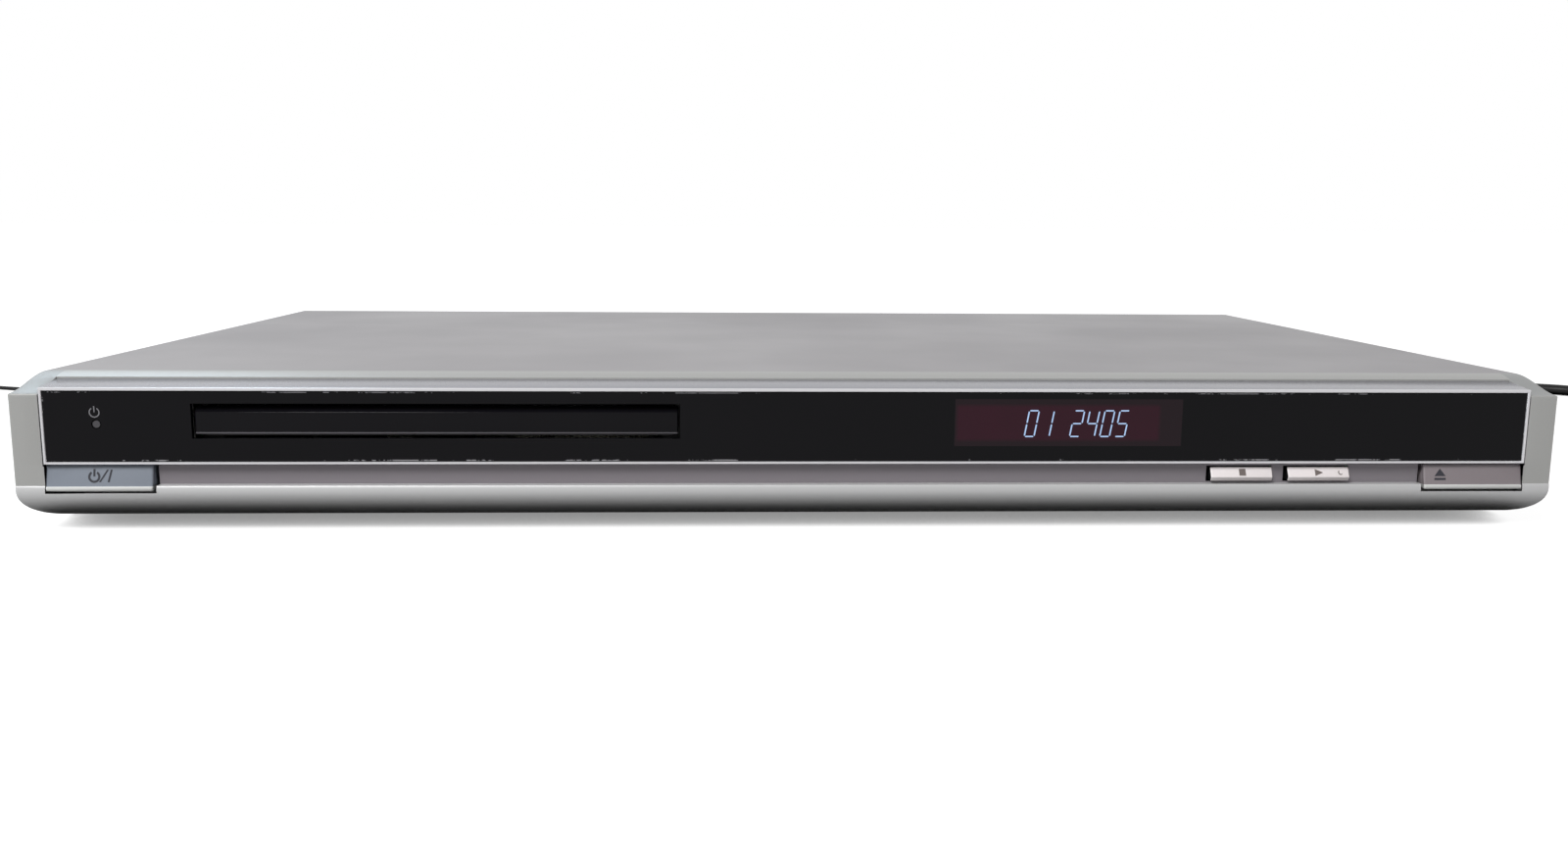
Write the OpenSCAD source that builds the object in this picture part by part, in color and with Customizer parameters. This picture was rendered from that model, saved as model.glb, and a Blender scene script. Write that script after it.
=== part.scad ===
// Disc player with a front-loading tray on a belt and gear drive.
// Frame: origin in the middle of the footprint on the table, +X to the right,
// +Y to the back, +Z up. Modules work in (x, s, z), where s is the distance
// behind the foremost plane of the front.

/* [Cabinet] */
// Width across the end caps of the front
panel_w = 430; // [400:1:460]
// Depth from the foremost plane of the front to the tips of the sockets
body_d = 250; // [246:1:300]
// How far the sockets stand out behind the rear panel
socket_out = 6; // [4:0.5:10]
// Height of the feet
foot_h = 3.5; // [2:0.5:10]
// Diameter of a foot
foot_d = 26; // [16:1:40]
// Distance of the feet from the cabinet's sides
foot_in = 30; // [20:1:60]
// Sheet steel thickness of chassis, cover and rear panel
sheet_t = 1; // [0.6:0.1:1.4]
// Bend radius along the cover's top edges
cover_bend = 2; // [1.2:0.1:5]
// Height of the chassis pan's side flanges
flange_h = 14; // [8:1:24]
// Length of a cooling slot in the cover's sides
vent_len = 15; // [8:1:20]
// Width of a cooling slot
vent_w = 2.4; // [1.5:0.1:4]
// Distance between cooling slots
vent_pitch = 5.6; // [5:0.1:9]

/* [Front] */
// Width of an end cap beside the dark window
cap_w = 9; // [7:0.1:14]
// Height of the dark window
window_h = 19.6; // [18.6:0.1:24]
// Width of the bright rim round the window
rim_w = 0.8; // [0.5:0.1:1.5]
// Height of the recessed strip that holds the buttons
strip_h = 5.5; // [5:0.1:9]
// Depth of the recessed strip
strip_in = 2.6; // [1.6:0.1:3.2]
// Height of the rounded chin
chin_h = 10; // [8:0.5:14]
// Depth of the rounded chin
chin_d = 10; // [7:0.5:15]
// Rise from the window frame to the cabinet's top
crown_h = 2.8; // [2:0.1:6]
// Drop of the end caps' front edge below the cabinet's top
cap_drop = 4.5; // [3:0.1:6]
// Depth of the S-curve from the front edge up to the cover
crown_d = 17; // [14:0.5:19]
// Depth of the window frame's top face
frame_d = 11.2; // [6:0.1:12.5]
// Wall of the moulded front
wall_t = 2; // [1.6:0.1:2.6]
// Sideways flare of the end caps beyond the cover
flare = 1; // [0.4:0.1:2]
// Thickness of the window sheet
lens_t = 1.5; // [1:0.1:2]

/* [Tray mouth and display] */
// Distance of the tray from the window's left end
tray_in = 41.6; // [34:0.1:46]
// Room in the mouth at each side of the tray
mouth_side = 2.4; // [1.5:0.1:4]
// Height of the tray's mouth
mouth_h = 9.7; // [9.2:0.1:11]
// Height of the mouth above the window's lower edge
mouth_up = 6.4; // [5.5:0.1:8]
// Distance of the display's middle from the window's right end
display_in = 131.3; // [116:0.1:146]
// Width of the display's filter
display_w = 64.4; // [40:0.1:80]
// Height of the display's filter
display_h = 13.3; // [8:0.1:15]
// Height of the filter above the window's lower edge
display_up = 4.3; // [2:0.1:5]
// Distance of the standby light from the window's left end
led_in = 13.9; // [8:0.1:25]
// Height of the standby light above the window's lower edge
led_up = 10.4; // [6:0.1:14]
// Diameter of the standby light pipe
led_d = 2; // [1.5:0.1:4]

/* [Buttons] */
// Width of the opening for the power button
power_w = 30; // [22:0.5:32]
// Width of the opening for the tray button
eject_w = 30; // [22:0.5:32]
// Distance of the stop button from the window's right end
stop_in = 80.9; // [78:0.1:96]
// Distance from the stop button to the play button
key_pitch = 22.3; // [21:0.1:25]
// Width of the stop and play buttons
key_w = 18; // [12:0.1:20.6]
// Height of the stop and play buttons
key_h = 4.5; // [3.5:0.1:4.8]
// How far a button can be pressed
press = 0.5; // [0.3:0.1:0.8]

/* [Tray] */
// Diameter of the large disc seat
seat_d = 121.2; // [120.5:0.1:123]
// Diameter of the small disc seat
small_seat_d = 81.2; // [80.5:0.1:84]
// Width of the tray
tray_w = 128; // [126:0.1:129]
// Length of the tray
tray_len = 176; // [172:0.5:180]
// Height of the tray
tray_h = 7.8; // [7.4:0.1:8.6]
// Thickness of the tray's plate
plate_t = 5.2; // [4.8:0.1:5.6]
// Depth of the large disc seat
seat_deep = 2.8; // [1.8:0.1:3]
// Further depth of the small disc seat
small_deep = 1.2; // [0.6:0.1:1.4]
// Width of the slot that passes over the turntable
slot_w = 46; // [42:0.5:48]
// Distance of the disc's centre behind the front
hub_s = 82; // [80:0.5:84]

/* [Loading gears] */
// Module of the rack and its pinion
rack_m = 1; // [0.9:0.05:1.05]
// Teeth of the pinion
pinion_n = 18; // [17:1:19]
// Module of the reduction gears
wheel_m = 0.8; // [0.7:0.05:0.85]
// Teeth of the large wheel
wheel_n = 40; // [36:2:40]
// Teeth of the small gear on the belt pulley
small_n = 14; // [12:1:15]
// Groove diameter of the belt pulley
pulley_d = 30; // [24:1:32]
// Groove diameter of the motor's pulley
motor_pulley_d = 6; // [5:0.5:8]
// Distance from belt pulley to motor pulley
belt_span = 38; // [36:1:40]
// Thickness of the belt
belt_t = 1.2; // [0.8:0.1:1.4]
// Diameter of the gear posts
axle_d = 4; // [3:0.1:5]

/* [Traverse deck] */
// Distance of the deck's hinge behind the front
hinge_s = 174; // [172:0.5:176]
// Depth of the hinge below the tray
hinge_drop = 12.1; // [11.8:0.1:12.6]
// Diameter of the hinge pins
hinge_d = 5; // [4:0.1:6]
// Diameter of the deck's cam pins
cam_pin_d = 2.4; // [2:0.1:2.8]
// Sideways travel of the cam slider
cam_travel = 16; // [14:0.5:17]
// Tilt of the deck when it is lowered, in degrees
deck_tilt = 3; // [2:0.1:3.1]
// Diameter of the turntable
turntable_d = 29.5; // [26:0.5:32]
// Diameter of the guide rods
rod_d = 3; // [2.5:0.1:3.4]
// Distance between the guide rods
rod_span = 54; // [50:0.5:58]
// Diameter of the feed screw
screw_d = 3.4; // [2.5:0.1:3.6]
// Travel of the pickup along its rods
sled_travel = 34; // [30:1:35]
// Diameter of the clamper
clamper_d = 32; // [28:0.5:36]

/* [Boards and sockets] */
// Thickness of the circuit boards
board_t = 1.6; // [1.2:0.1:2]
// Height of the boards above the floor
board_up = 4.5; // [3:0.1:6]
// Gap between the main board and the power board
board_gap = 14.7; // [8:0.1:30]
// Length of the main board
main_len = 112; // [100:1:118]
// Width of the power board
supply_w = 60; // [50:1:62]
// Length of the power board
supply_len = 160; // [130:1:170]
// Diameter of a phono socket's sleeve
socket_d = 8.3; // [8:0.1:8.6]
// Distance between phono sockets
socket_pitch = 16; // [15:0.5:18]
// Position of the first phono socket
socket_x = 30; // [20:1:34]
// Position of the mains inlet
inlet_x = 185; // [178:1:190]

/* [Leads] */
// Diameter of the mains lead
mains_d = 5.2; // [4.6:0.1:6]
// Diameter of the signal lead
signal_d = 1.8; // [1.4:0.1:2.6]

/* [Hidden] */
$fn = 72;

// Named clearances
fit_gap = 0.3;        // between pieces that pass or sit beside each other
run_gap = 0.05;       // radial play of a shaft in its bore
snug_gap = 0.02;      // radial play of a rod in its holder
cut = 1;              // how far a cutter runs past the face it opens

// Heights of the front, from the table up
crease_z = foot_h + chin_h;
strip_top_z = crease_z + strip_h;
window_z0 = strip_top_z + rim_w;
window_z1 = window_z0 + window_h;
frame_top_z = window_z1 + rim_w;
floor_z = foot_h + sheet_t;

// Window, mouth and tray
window_w = panel_w - 2 * cap_w;
tray_x = -window_w / 2 + tray_in + tray_w / 2;
display_x = window_w / 2 - display_in;
board_x0 = display_x - display_w / 2 - 14.5;   // left end of the front board
stop_x = window_w / 2 - stop_in;
mouth_w = tray_w + 2 * mouth_side;
tray_clear = 0.4;
mouth_z0 = window_z0 + mouth_up;
mouth_z1 = mouth_z0 + mouth_h;
tray_z0 = mouth_z0 + tray_clear;
tray_z1 = tray_z0 + tray_h;
plate_z = tray_z1 - plate_t;
seat_z = tray_z1 - seat_deep;
small_seat_z = seat_z - small_deep;
tray_s0 = 4.3;
tray_s1 = tray_s0 + tray_len;

// Clamp over the tray, and the cabinet's top over the clamp
bridge_z = tray_z1 + 2;
bridge_t = 1.2;
clamper_flange_t = 1.5;
clamper_top_z = bridge_z + bridge_t + fit_gap + clamper_flange_t;
cabinet_top_z = max(frame_top_z + crown_h, clamper_top_z + fit_gap + sheet_t);
cap_z = cabinet_top_z - cap_drop;
cover_in_z = cabinet_top_z - sheet_t;

// Cabinet plan
cover_half = panel_w / 2 - flare;
inner_half = cover_half - sheet_t;
pan_half = inner_half - fit_gap;
tuck_d = 3;                       // how far the front reaches under the cover
panel_back_s = crown_d + tuck_d;
pan_s0 = panel_back_s + fit_gap;
rear_out_s = body_d - socket_out; // outer face of the rear panel
rear_in_s = rear_out_s - sheet_t;
hem_s = rear_out_s + fit_gap;     // inner face of the cover's rear hem
hem_h = 6;
skirt_z = foot_h + 0.4;           // lower edge of the cover's sides

// Window parts, as distances behind the front
lens_s = 0.5;
lens_back_s = lens_s + lens_t;
frame_plate_t = 1.1;
frame_back_s = lens_back_s + frame_plate_t;
frame_rise = 1.1;
window_wall_s = frame_back_s + fit_gap;       // front of the moulded wall
window_wall_back = window_wall_s + wall_t;
strip_back_s = strip_in + wall_t;
frame_half = window_w / 2 + rim_w;
ledge_z = window_z1 - wall_t;                 // inner ceiling under the frame
crown_in_s = frame_d + fit_gap + wall_t;      // front of the void under the crown

// Buttons
button_gap = 0.3;
side_gap = 1;                                 // wider gap beside the big buttons
lip_h = 2.2;                                  // how far those reach into the chin
button_z0 = crease_z - lip_h;
button_lean = 1.4;                            // lean of the big faces
key_lean = 2.2;
power_x0 = -window_w / 2 - 1.1;
eject_x1 = window_w / 2 + 1.1;
key_z0 = crease_z + (strip_h - key_h) / 2;
play_x = stop_x + key_pitch;
flange_s = window_wall_back + fit_gap;        // front of the buttons' flanges
flange_t = 1;
board_s = panel_back_s;                       // front face of the upright boards
switch_h = 3.5;
plunger_h = 0.5;
plunger_s = board_s - switch_h - plunger_h;
stem_end_s = plunger_s - press - 0.1;
stem_d = 3.4;
led_x = -window_w / 2 + led_in;
led_z = window_z0 + led_up;

// Loader frame
frame_wall = 2;
rail_half = tray_w / 2;
loader_in = rail_half + 0.5;                  // inner faces of the side walls
loader_half = loader_in + frame_wall;
loader_s0 = window_wall_back + 3;
loader_s1 = tray_s1 + 12;
loader_z0 = floor_z + board_up;
base_t = 2;
well_half = rail_half - 17.5;                 // half width of the deck's well
well_s1 = hinge_s + 8;
ear_out = 5;                                  // screw ears beside the side walls
ear_s = [pan_s0 + 8, loader_s1 - 8];

// Gear train
pinion_r = pinion_n * rack_m / 2;
wheel_r = wheel_n * wheel_m / 2;
small_r = small_n * wheel_m / 2;
rack_in = 12;
rack_x = tray_x + rail_half - rack_in;
gear_x = rack_x - pinion_r;
gear_s = loader_s0 + 19;
pulley_x = gear_x - wheel_r - small_r;
motor_x = pulley_x - belt_span;
tooth_top = 0.85;
tooth_root = 1.2;
tooth_slack = 0.16;
wheel_t = 2.6;
wheel_z = tray_z0 - 0.6 - wheel_t;            // underside of the large wheel
pulley_t = 3.2;
pulley_z = wheel_z - 0.5 - pulley_t;
platform_t = 1.8;
platform_z1 = pulley_z - fit_gap;             // top of the gear platform
platform_z0 = platform_z1 - platform_t;
belt_z = pulley_z + pulley_t / 2;
motor_d = 24;
motor_h = 11.4;
motor_shaft_d = 2;
post_top_z = plate_z - fit_gap;

// Cam slider
cam_wall_s = [52.7, 54.7];
slider_t = 3;
slider_s = [cam_wall_s[1] + fit_gap, cam_wall_s[1] + fit_gap + slider_t];
slider_mid_s = (slider_s[0] + slider_s[1]) / 2;
slider_z0 = floor_z + 1.5;
hinge_z = tray_z0 - hinge_drop;
slider_z1 = hinge_z + 4.6;
slider_len = 76.4;
slider_x0 = tray_x - well_half + fit_gap;
cam_pin_x = 16;
cam_drop = (hinge_s - slider_mid_s) * sin(deck_tilt);
cam_slot_r = cam_pin_d / 2 + fit_gap;
cam_post_d = 3;
cam_post_x = slider_x0 + cam_post_d / 2 + 0.4;

// Traverse deck
deck_half = well_half - 1;
deck_bar = 6;
deck_z = [hinge_z - 2.5, hinge_z + 1.5];
deck_s0 = slider_s[1] + 4;
deck_s1 = hinge_s + 6;
damper_h = 2.2;
chassis_z = deck_z[1] + damper_h;             // underside of the traverse plate
chassis_t = 1.2;
chassis_top_z = chassis_z + chassis_t;
damper_d = 5.4;
damper_x = deck_half - deck_bar / 2;
damper_s = [deck_s0 + 9, hinge_s - 8];
rod_z = chassis_top_z + 3;
rod_s = [hub_s + 12.5, hub_s + 83];
rod_block = 3.5;
sled_s = [hub_s + 16.5, hub_s + 44];
spin_z = tray_z1 - 1.4;                       // face that carries the disc
clamper_foot = 1.1;
cone_top_z = bridge_z - clamper_foot - 2 * fit_gap;

spindle_d = 2;
screw_x = tray_x + rod_span / 2 + 9;
screw_s = [hub_s + 15, rod_s[1] + 4];
objective_s = hub_s + 24;

// Boards
board_z = floor_z + board_up;
board_top = board_z + board_t;
main_s = [rear_in_s - 13 - main_len, rear_in_s - 13];
supply_x1 = pan_half - 4;
main_x0 = tray_x + loader_half + ear_out + 6.4;   // clear of the loader's ears
main_w = supply_x1 - supply_w - board_gap - main_x0;
main_mid = main_x0 + main_w / 2;
supply_s = [rear_in_s - 16 - supply_len, rear_in_s - 16];
socket_row_z = [board_top + 6.4, board_top + 20.4];
socket_face_s = rear_out_s + 0.4;
inlet_z = board_top + 11.4;

// Points of a lead that leaves the rear at x
function routed(x, points) = [for (p = points) [x + p[0], rear_out_s + p[1], p[2]]];

// Mains lead: out of the connector, down to the table, round to the right
mains_r = mains_d / 2;
mains_route = routed(inlet_x, [
    [0, 43, 22], [0, 49, 22], [1, 57, 19.8], [3.5, 64, 15.4], [7.5, 71, 10], [13, 77, 5.6],
    [20, 82.5, 3.2], [29, 87.5, 2.6], [41, 91, 2.6], [55, 92.5, 2.6], [71, 92, 2.6],
    [89, 89.5, 2.6], [107, 85.5, 2.6], [125, 80, 2.6], [143, 73, 2.6], [161, 65.5, 2.6],
    [179, 58.5, 2.6], [195, 52, 2.6], [208, 45.8, 2.6], [219, 39, 2.6], [226.5, 29.5, 2.6],
    [230.6, 18, 2.6]
]);
mains_coil_at = [inlet_x + 270, rear_out_s + 18];
mains_coil_r = [20.8, 36.4];
mains_coil_h = 10.6;
plug_at = [mains_coil_at[0] - mains_coil_r[1] + mains_r, mains_coil_at[1] - 29.5];

// Signal lead: out of its plug, down to the table, round to the left
signal_r = signal_d / 2;
signal_route = routed(socket_x, [
    [0, 30, 17], [0, 35, 17], [-1, 42, 13.2], [-3, 47.5, 8.4], [-7, 52, 4], [-13, 55.5, 1.6],
    [-21, 58.5, 0.9], [-34, 61.5, 0.9], [-54, 64, 0.9], [-80, 65, 0.9], [-110, 63, 0.9],
    [-142, 59, 0.9], [-176, 54, 0.9], [-212, 49, 0.9], [-248, 45, 0.9], [-284, 42, 0.9],
    [-318, 40, 0.9], [-348, 40, 0.9], [-374, 42, 0.9], [-394, 46.5, 0.9], [-408, 52, 0.9],
    [-415.5, 56.3, 0.9], [-422, 61.5, 0.9], [-425.6, 67, 0.9], [-426.2, 72, 0.9]
]);
signal_coil_at = [socket_x - 442, rear_out_s + 72];
signal_coil_r = [5.4, 14.6];
signal_coil_h = 5.6;
signal_end_at = [signal_coil_at[0], signal_coil_at[1] - signal_coil_r[1] - fit_gap - 29.1];

// ---- helpers

// Turns (x, s, z) into the part's own frame
module in_place() translate([0, -body_d / 2, 0]) children();

// A box from three ranges
module block(x, s, z)
    translate([x[0], s[0], z[0]]) cube([x[1] - x[0], s[1] - s[0], z[1] - z[0]]);

// A box centred on x
module bar(x, w, s, z) block([x - w / 2, x + w / 2], s, z);

// The children at both sides of the plane x = middle
module both_sides(middle = 0) {
    translate([middle, 0, 0]) children();
    translate([middle, 0, 0]) mirror([1, 0, 0]) children();
}

// A 2D shape in (s, z), carried along x
module along_x(x) translate([x[0], 0, 0]) rotate([90, 0, 90]) linear_extrude(x[1] - x[0]) children();

// A 2D shape in (x, z), carried along s
module along_s(s) translate([0, s[1], 0]) rotate([90, 0, 0]) linear_extrude(s[1] - s[0]) children();

// A 2D shape in (x, s), carried along z
module along_z(z) translate([0, 0, z[0]]) linear_extrude(z[1] - z[0]) children();

module post(x, s, z, d) translate([x, s, z[0]]) cylinder(h = z[1] - z[0], d = d);
module peg(x, z, s, d) translate([x, s[0], z]) rotate([-90, 0, 0]) cylinder(h = s[1] - s[0], d = d);
module shaft(s, z, x, d) translate([x[0], s, z]) rotate([0, 90, 0]) cylinder(h = x[1] - x[0], d = d);

// A rectangle with round corners, drawn with true arcs
module round_rect(w, h, r) {
    square([w - 2 * r, h], center = true);
    square([w, h - 2 * r], center = true);
    for (i = [-1, 1], j = [-1, 1]) translate([i * (w / 2 - r), j * (h / 2 - r)]) circle(r);
}

// Points along an arc
function arc(c, r, from, to, n) = [for (i = [0:n]) let (a = from + (to - from) * i / n)
    c + r * [cos(a), sin(a)]];

// A slot with round ends between two points
module slot_2d(a, b, r) {
    angle = atan2(b[1] - a[1], b[0] - a[0]);
    polygon(concat(arc(a, r, angle + 90, angle + 270, 8), arc(b, r, angle - 90, angle + 90, 8)));
}

// A pan-head screw pointing along +s, its head's underside at s
module screw_s(x, z, s, head_d, head_h, d, len) {
    difference() {
        peg(x, z, [s - head_h, s], head_d);
        for (a = [0, 90])
            translate([x, s - head_h, z]) rotate([0, a, 0])
                cube([head_d * 0.6, head_h * 0.9, head_d * 0.14], center = true);
    }
    peg(x, z, [s, s + len], d);
}

// A pan-head screw pointing down, its head's underside at z
module screw_down(x, s, z, head_d, head_h, d, len) {
    difference() {
        post(x, s, [z, z + head_h], head_d);
        for (a = [0, 90])
            translate([x, s, z + head_h]) rotate(a)
                cube([head_d * 0.6, head_d * 0.14, head_h], center = true);
    }
    post(x, s, [z - len, z], d);
}

// ---- involute teeth

// Polar angle of the involute at radius r, over its base circle
function involute_angle(base, r) = let (a = acos(min(1, base / r))) tan(a) * 180 / PI - a;

// One tooth's points, root to tip and back, centred on the angle at
function tooth_points(n, m, at) = let (
    pitch = n * m / 2,
    base = pitch * cos(20),
    root = pitch - tooth_root * m,
    tip = pitch + tooth_top * m,
    start = max(base, root),
    half = 90 / n - tooth_slack / 4 / pitch * 180 / PI + involute_angle(base, pitch),
    steps = 4,
    radii = [for (i = [0:steps]) start + (tip - start) * i / steps],
    side = [for (r = radii) [r, half - involute_angle(base, r)]]
) concat(
    [[root, -half]],
    [for (p = side) [p[0], -p[1]]],
    [for (i = [steps:-1:0]) side[i]],
    [[root, half]]
);

// A spur gear's outline, with a tooth centred on the angle at
module gear_2d(n, m, at = 0)
    polygon([for (k = [0:n - 1]) for (p = tooth_points(n, m, 0))
        let (a = at + 360 / n * k + p[1]) [p[0] * cos(a), p[0] * sin(a)]]);

// A rack along s with teeth towards -x; a gap is centred on s = at
module rack_2d(m, pitch_x, back_x, s, at) {
    step = PI * m;
    k0 = ceil((s[0] - at) / step);
    k1 = floor((s[1] - at) / step) - 1;
    tip = pitch_x - tooth_top * m;
    root = pitch_x + tooth_root * m;
    w = step / 4 - tooth_slack / 4;
    tip_w = w - tooth_top * m * tan(20);
    root_w = w + tooth_root * m * tan(20);
    polygon(concat(
        [[back_x, s[0]], [root, s[0]]],
        [for (k = [k0:k1]) let (c = at + (k + 0.5) * step)
            for (p = [[root, c - root_w], [tip, c - tip_w], [tip, c + tip_w], [root, c + root_w]]) p],
        [[root, s[1]], [back_x, s[1]]]
    ));
}

// ---- swept lead

function unit(v) = v / norm(v);
function heading(path, i) = let (n = len(path) - 1)
    unit(i == 0 ? path[1] - path[0] : i == n ? path[n] - path[n - 1]
        : unit(path[i] - path[i - 1]) + unit(path[i + 1] - path[i]));
function ring(at, way, r, sides) = let (
    across = unit(cross(way, [0, 0, 1])),
    up = cross(across, way)
) [for (j = [0:sides - 1]) let (a = 360 * (j + 0.5) / sides)
    at + r * cos(a) * across + r * sin(a) * up];

// A round lead through the points of a path, with flat ends
module lead(path, r, sides) {
    n = len(path) - 1;
    points = [for (i = [0:n]) for (p = ring(path[i], heading(path, i), r, sides)) p];
    polyhedron(points, concat(
        [[for (j = [sides - 1:-1:0]) j]],
        [for (i = [0:n - 1], j = [0:sides - 1]) let (k = (j + 1) % sides)
            [i * sides + j, i * sides + k, (i + 1) * sides + k, (i + 1) * sides + j]],
        [[for (j = [0:sides - 1]) n * sides + j]]
    ));
}

// ---- cabinet

// Pressed steel pan with side flanges, ribs, slots and board standoffs
module bottom_chassis() color("lightgray") in_place() {
    difference() {
        union() {
            block([-pan_half, pan_half], [pan_s0, rear_in_s], [foot_h, floor_z]);
            both_sides() block([pan_half - sheet_t, pan_half], [pan_s0, rear_in_s],
                [foot_h, floor_z + flange_h]);
            for (x = [-1, 1] * 34) bar(x, 8, [pan_s0 + 14, rear_in_s - 14], [floor_z, floor_z + 0.6]);
            bar(tray_x, 8, [loader_s1 + 6, rear_in_s - 8], [floor_z, floor_z + 0.6]);
        }
        for (i = [0:7])
            translate([supply_x1 - supply_w / 2, supply_s[0] + 20 + i * 2 * vent_pitch, foot_h - cut])
                linear_extrude(sheet_t + 2 * cut) slot_2d([-18, 0], [18, 0], vent_w / 2);
        for (p = standoffs()) post(p[0], p[1], [foot_h - cut, floor_z + cut], 2.4);
        cover_holes();
    }
    for (p = standoffs()) difference() {
        post(p[0], p[1], [floor_z, board_z], 6);
        post(p[0], p[1], [floor_z - cut, board_z + cut], 2.4);
    }
}

// Places of the standoffs under the loader's ears and the two boards
function standoffs() = concat(
    [for (i = [-1, 1], s = ear_s) [tray_x + i * (loader_half + ear_out), s]],
    [for (x = [main_x0 + 5, main_x0 + main_w - 5], s = [main_s[0] + 5, main_s[1] - 5]) [x, s]],
    [for (x = [supply_x1 - supply_w + 5, supply_x1 - 5], s = [supply_s[0] + 5, supply_s[1] - 5]) [x, s]]
);

// Screws through the cover's skirts and its rear hem
skirt_screw_s = [pan_s0 + 26, rear_in_s - 26];
skirt_screw_z = floor_z + 7;
hem_screw_x = [-150, 0, 150];
cover_screw_d = 3;
module cover_holes() {
    for (s = skirt_screw_s) shaft(s, skirt_screw_z, [-panel_w, panel_w], cover_screw_d + 2 * snug_gap);
    for (x = hem_screw_x)
        peg(x, cabinet_top_z - hem_h / 2 - 1, [rear_in_s - cut, hem_s + sheet_t + cut],
            cover_screw_d + 2 * snug_gap);
}

// The cover's outline seen from the front, standing on the plane of its skirts
module cover_outline(half, top, r) {
    translate([-half, skirt_z]) square([2 * half, top - r - skirt_z]);
    translate([-half + r, skirt_z]) square([2 * half - 2 * r, top - skirt_z]);
    for (i = [-1, 1]) translate([i * (half - r), top - r]) circle(r);
}

// Painted steel cover: one sheet bent down at both sides, hemmed at the back
module top_cover() color("silver") in_place() difference() {
    union() {
        difference() {
            along_s([crown_d, hem_s + sheet_t]) cover_outline(cover_half, cabinet_top_z, cover_bend);
            along_s([crown_d - cut, hem_s + sheet_t + cut]) translate([0, -cut])
                cover_outline(inner_half, cover_in_z + cut, cover_bend - sheet_t);
        }
        block([-inner_half + 6, inner_half - 6], [hem_s, hem_s + sheet_t],
            [cabinet_top_z - hem_h, cover_in_z]);
    }
    for (i = [0:11]) translate([0, rear_in_s - 60 - i * vent_pitch, cabinet_top_z - 14 - vent_len / 2])
        rotate([90, 0, 90]) linear_extrude(2 * panel_w, center = true)
            slot_2d([0, -vent_len / 2 + vent_w / 2], [0, vent_len / 2 - vent_w / 2], vent_w / 2);
    cover_holes();
}

// Rear panel with cut-outs for the sockets and the mains inlet, and vents
module rear_panel() color("dimgray") in_place() difference() {
    union() {
        block([-pan_half, pan_half], [rear_in_s, rear_out_s], [foot_h, cover_in_z - fit_gap]);
        block([-pan_half + 2, pan_half - 2], [rear_in_s - 6, rear_in_s],
            [cover_in_z - fit_gap - sheet_t, cover_in_z - fit_gap]);
    }
    bar(socket_mid_x, socket_block_w + 2 * fit_gap, [rear_in_s - cut, rear_out_s + cut],
        [board_top - fit_gap, socket_block_z1 + fit_gap]);
    along_s([rear_in_s - cut, rear_out_s + cut]) translate([inlet_x, inlet_z])
        round_rect(inlet_w + 2 * fit_gap, inlet_h + 2 * fit_gap, 3);
    for (i = [0:9], j = [0, 1])
        translate([tray_x - 30 + i * vent_pitch * 1.2, rear_in_s - cut, floor_z + 12 + j * 14])
            rotate([90, 0, 0]) mirror([0, 0, 1]) linear_extrude(sheet_t + 2 * cut)
                slot_2d([0, -4], [0, 4], vent_w / 2);
    for (x = hem_screw_x)
        peg(x, cabinet_top_z - hem_h / 2 - 1, [rear_in_s - cut, rear_out_s + cut],
            cover_screw_d + 2 * snug_gap);
}

// Four moulded rubber feet, dished underneath
foot_x = cover_half - foot_in;
foot_s = [pan_s0 + foot_in - 8, rear_in_s - foot_in];
module rubber_feet() color([0.1, 0.1, 0.1]) in_place()
    for (i = [-1, 1], s = foot_s) translate([i * foot_x, s, 0]) difference() {
        union() {
            cylinder(h = foot_h, d1 = foot_d - 3, d2 = foot_d);
        }
        translate([0, 0, -cut]) cylinder(h = cut + foot_h / 4, d = foot_d * 0.55);
    }

// Screws that hold the cover at its skirts and hem
module cover_screws() color("gray") in_place() {
    head_h = panel_w / 2 - cover_half - 0.1;
    for (s = skirt_screw_s) both_sides() difference() {
        union() {
            shaft(s, skirt_screw_z, [cover_half, cover_half + head_h], 6);
            shaft(s, skirt_screw_z, [pan_half - 3, cover_half], cover_screw_d);
        }
        for (a = [0, 90]) translate([cover_half + head_h, s, skirt_screw_z]) rotate([a, 0, 0])
            cube([head_h, 3.6, 0.9], center = true);
    }
    for (x = hem_screw_x) translate([0, 2 * (hem_s + sheet_t), 0]) mirror([0, 1, 0])
        screw_s(x, cabinet_top_z - hem_h / 2 - 1, hem_s + sheet_t, 5, 1.6, cover_screw_d, 7);
}

// ---- front

// Height of the crown's S-curve at a distance behind the front
function crown_z(s) = let (u = s / crown_d) cap_z + (cabinet_top_z - cap_z) * (3 * u * u - 2 * u * u * u);

// Quarter round of the chin, from the crease down, inset by a wall
function chin_points(inset, from = 0) = [for (i = [0:10]) let (a = from + (90 - from) * i / 10)
    [chin_d - (chin_d - inset) * cos(a), crease_z - (chin_h - inset) * sin(a)]];

module front_profile() polygon(concat(
    chin_points(0),
    [[panel_back_s, foot_h], [panel_back_s, cover_in_z - fit_gap], [crown_d, cover_in_z - fit_gap]],
    [for (i = [14:-1:1]) let (s = crown_d * i / 14) [s, crown_z(s)]],
    [[0.3, cap_z]]
));

// The hollow behind the front's walls
module front_void() polygon(concat(
    chin_points(wall_t, asin(wall_t / (chin_h - wall_t))),
    [[panel_back_s + cut, foot_h + wall_t], [panel_back_s + cut, cover_in_z - fit_gap - wall_t],
     [crown_in_s, cover_in_z - fit_gap - wall_t], [crown_in_s, ledge_z], [window_wall_back, ledge_z],
     [window_wall_back, strip_top_z], [strip_back_s, strip_top_z], [strip_back_s, crease_z - wall_t]]
));

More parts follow.
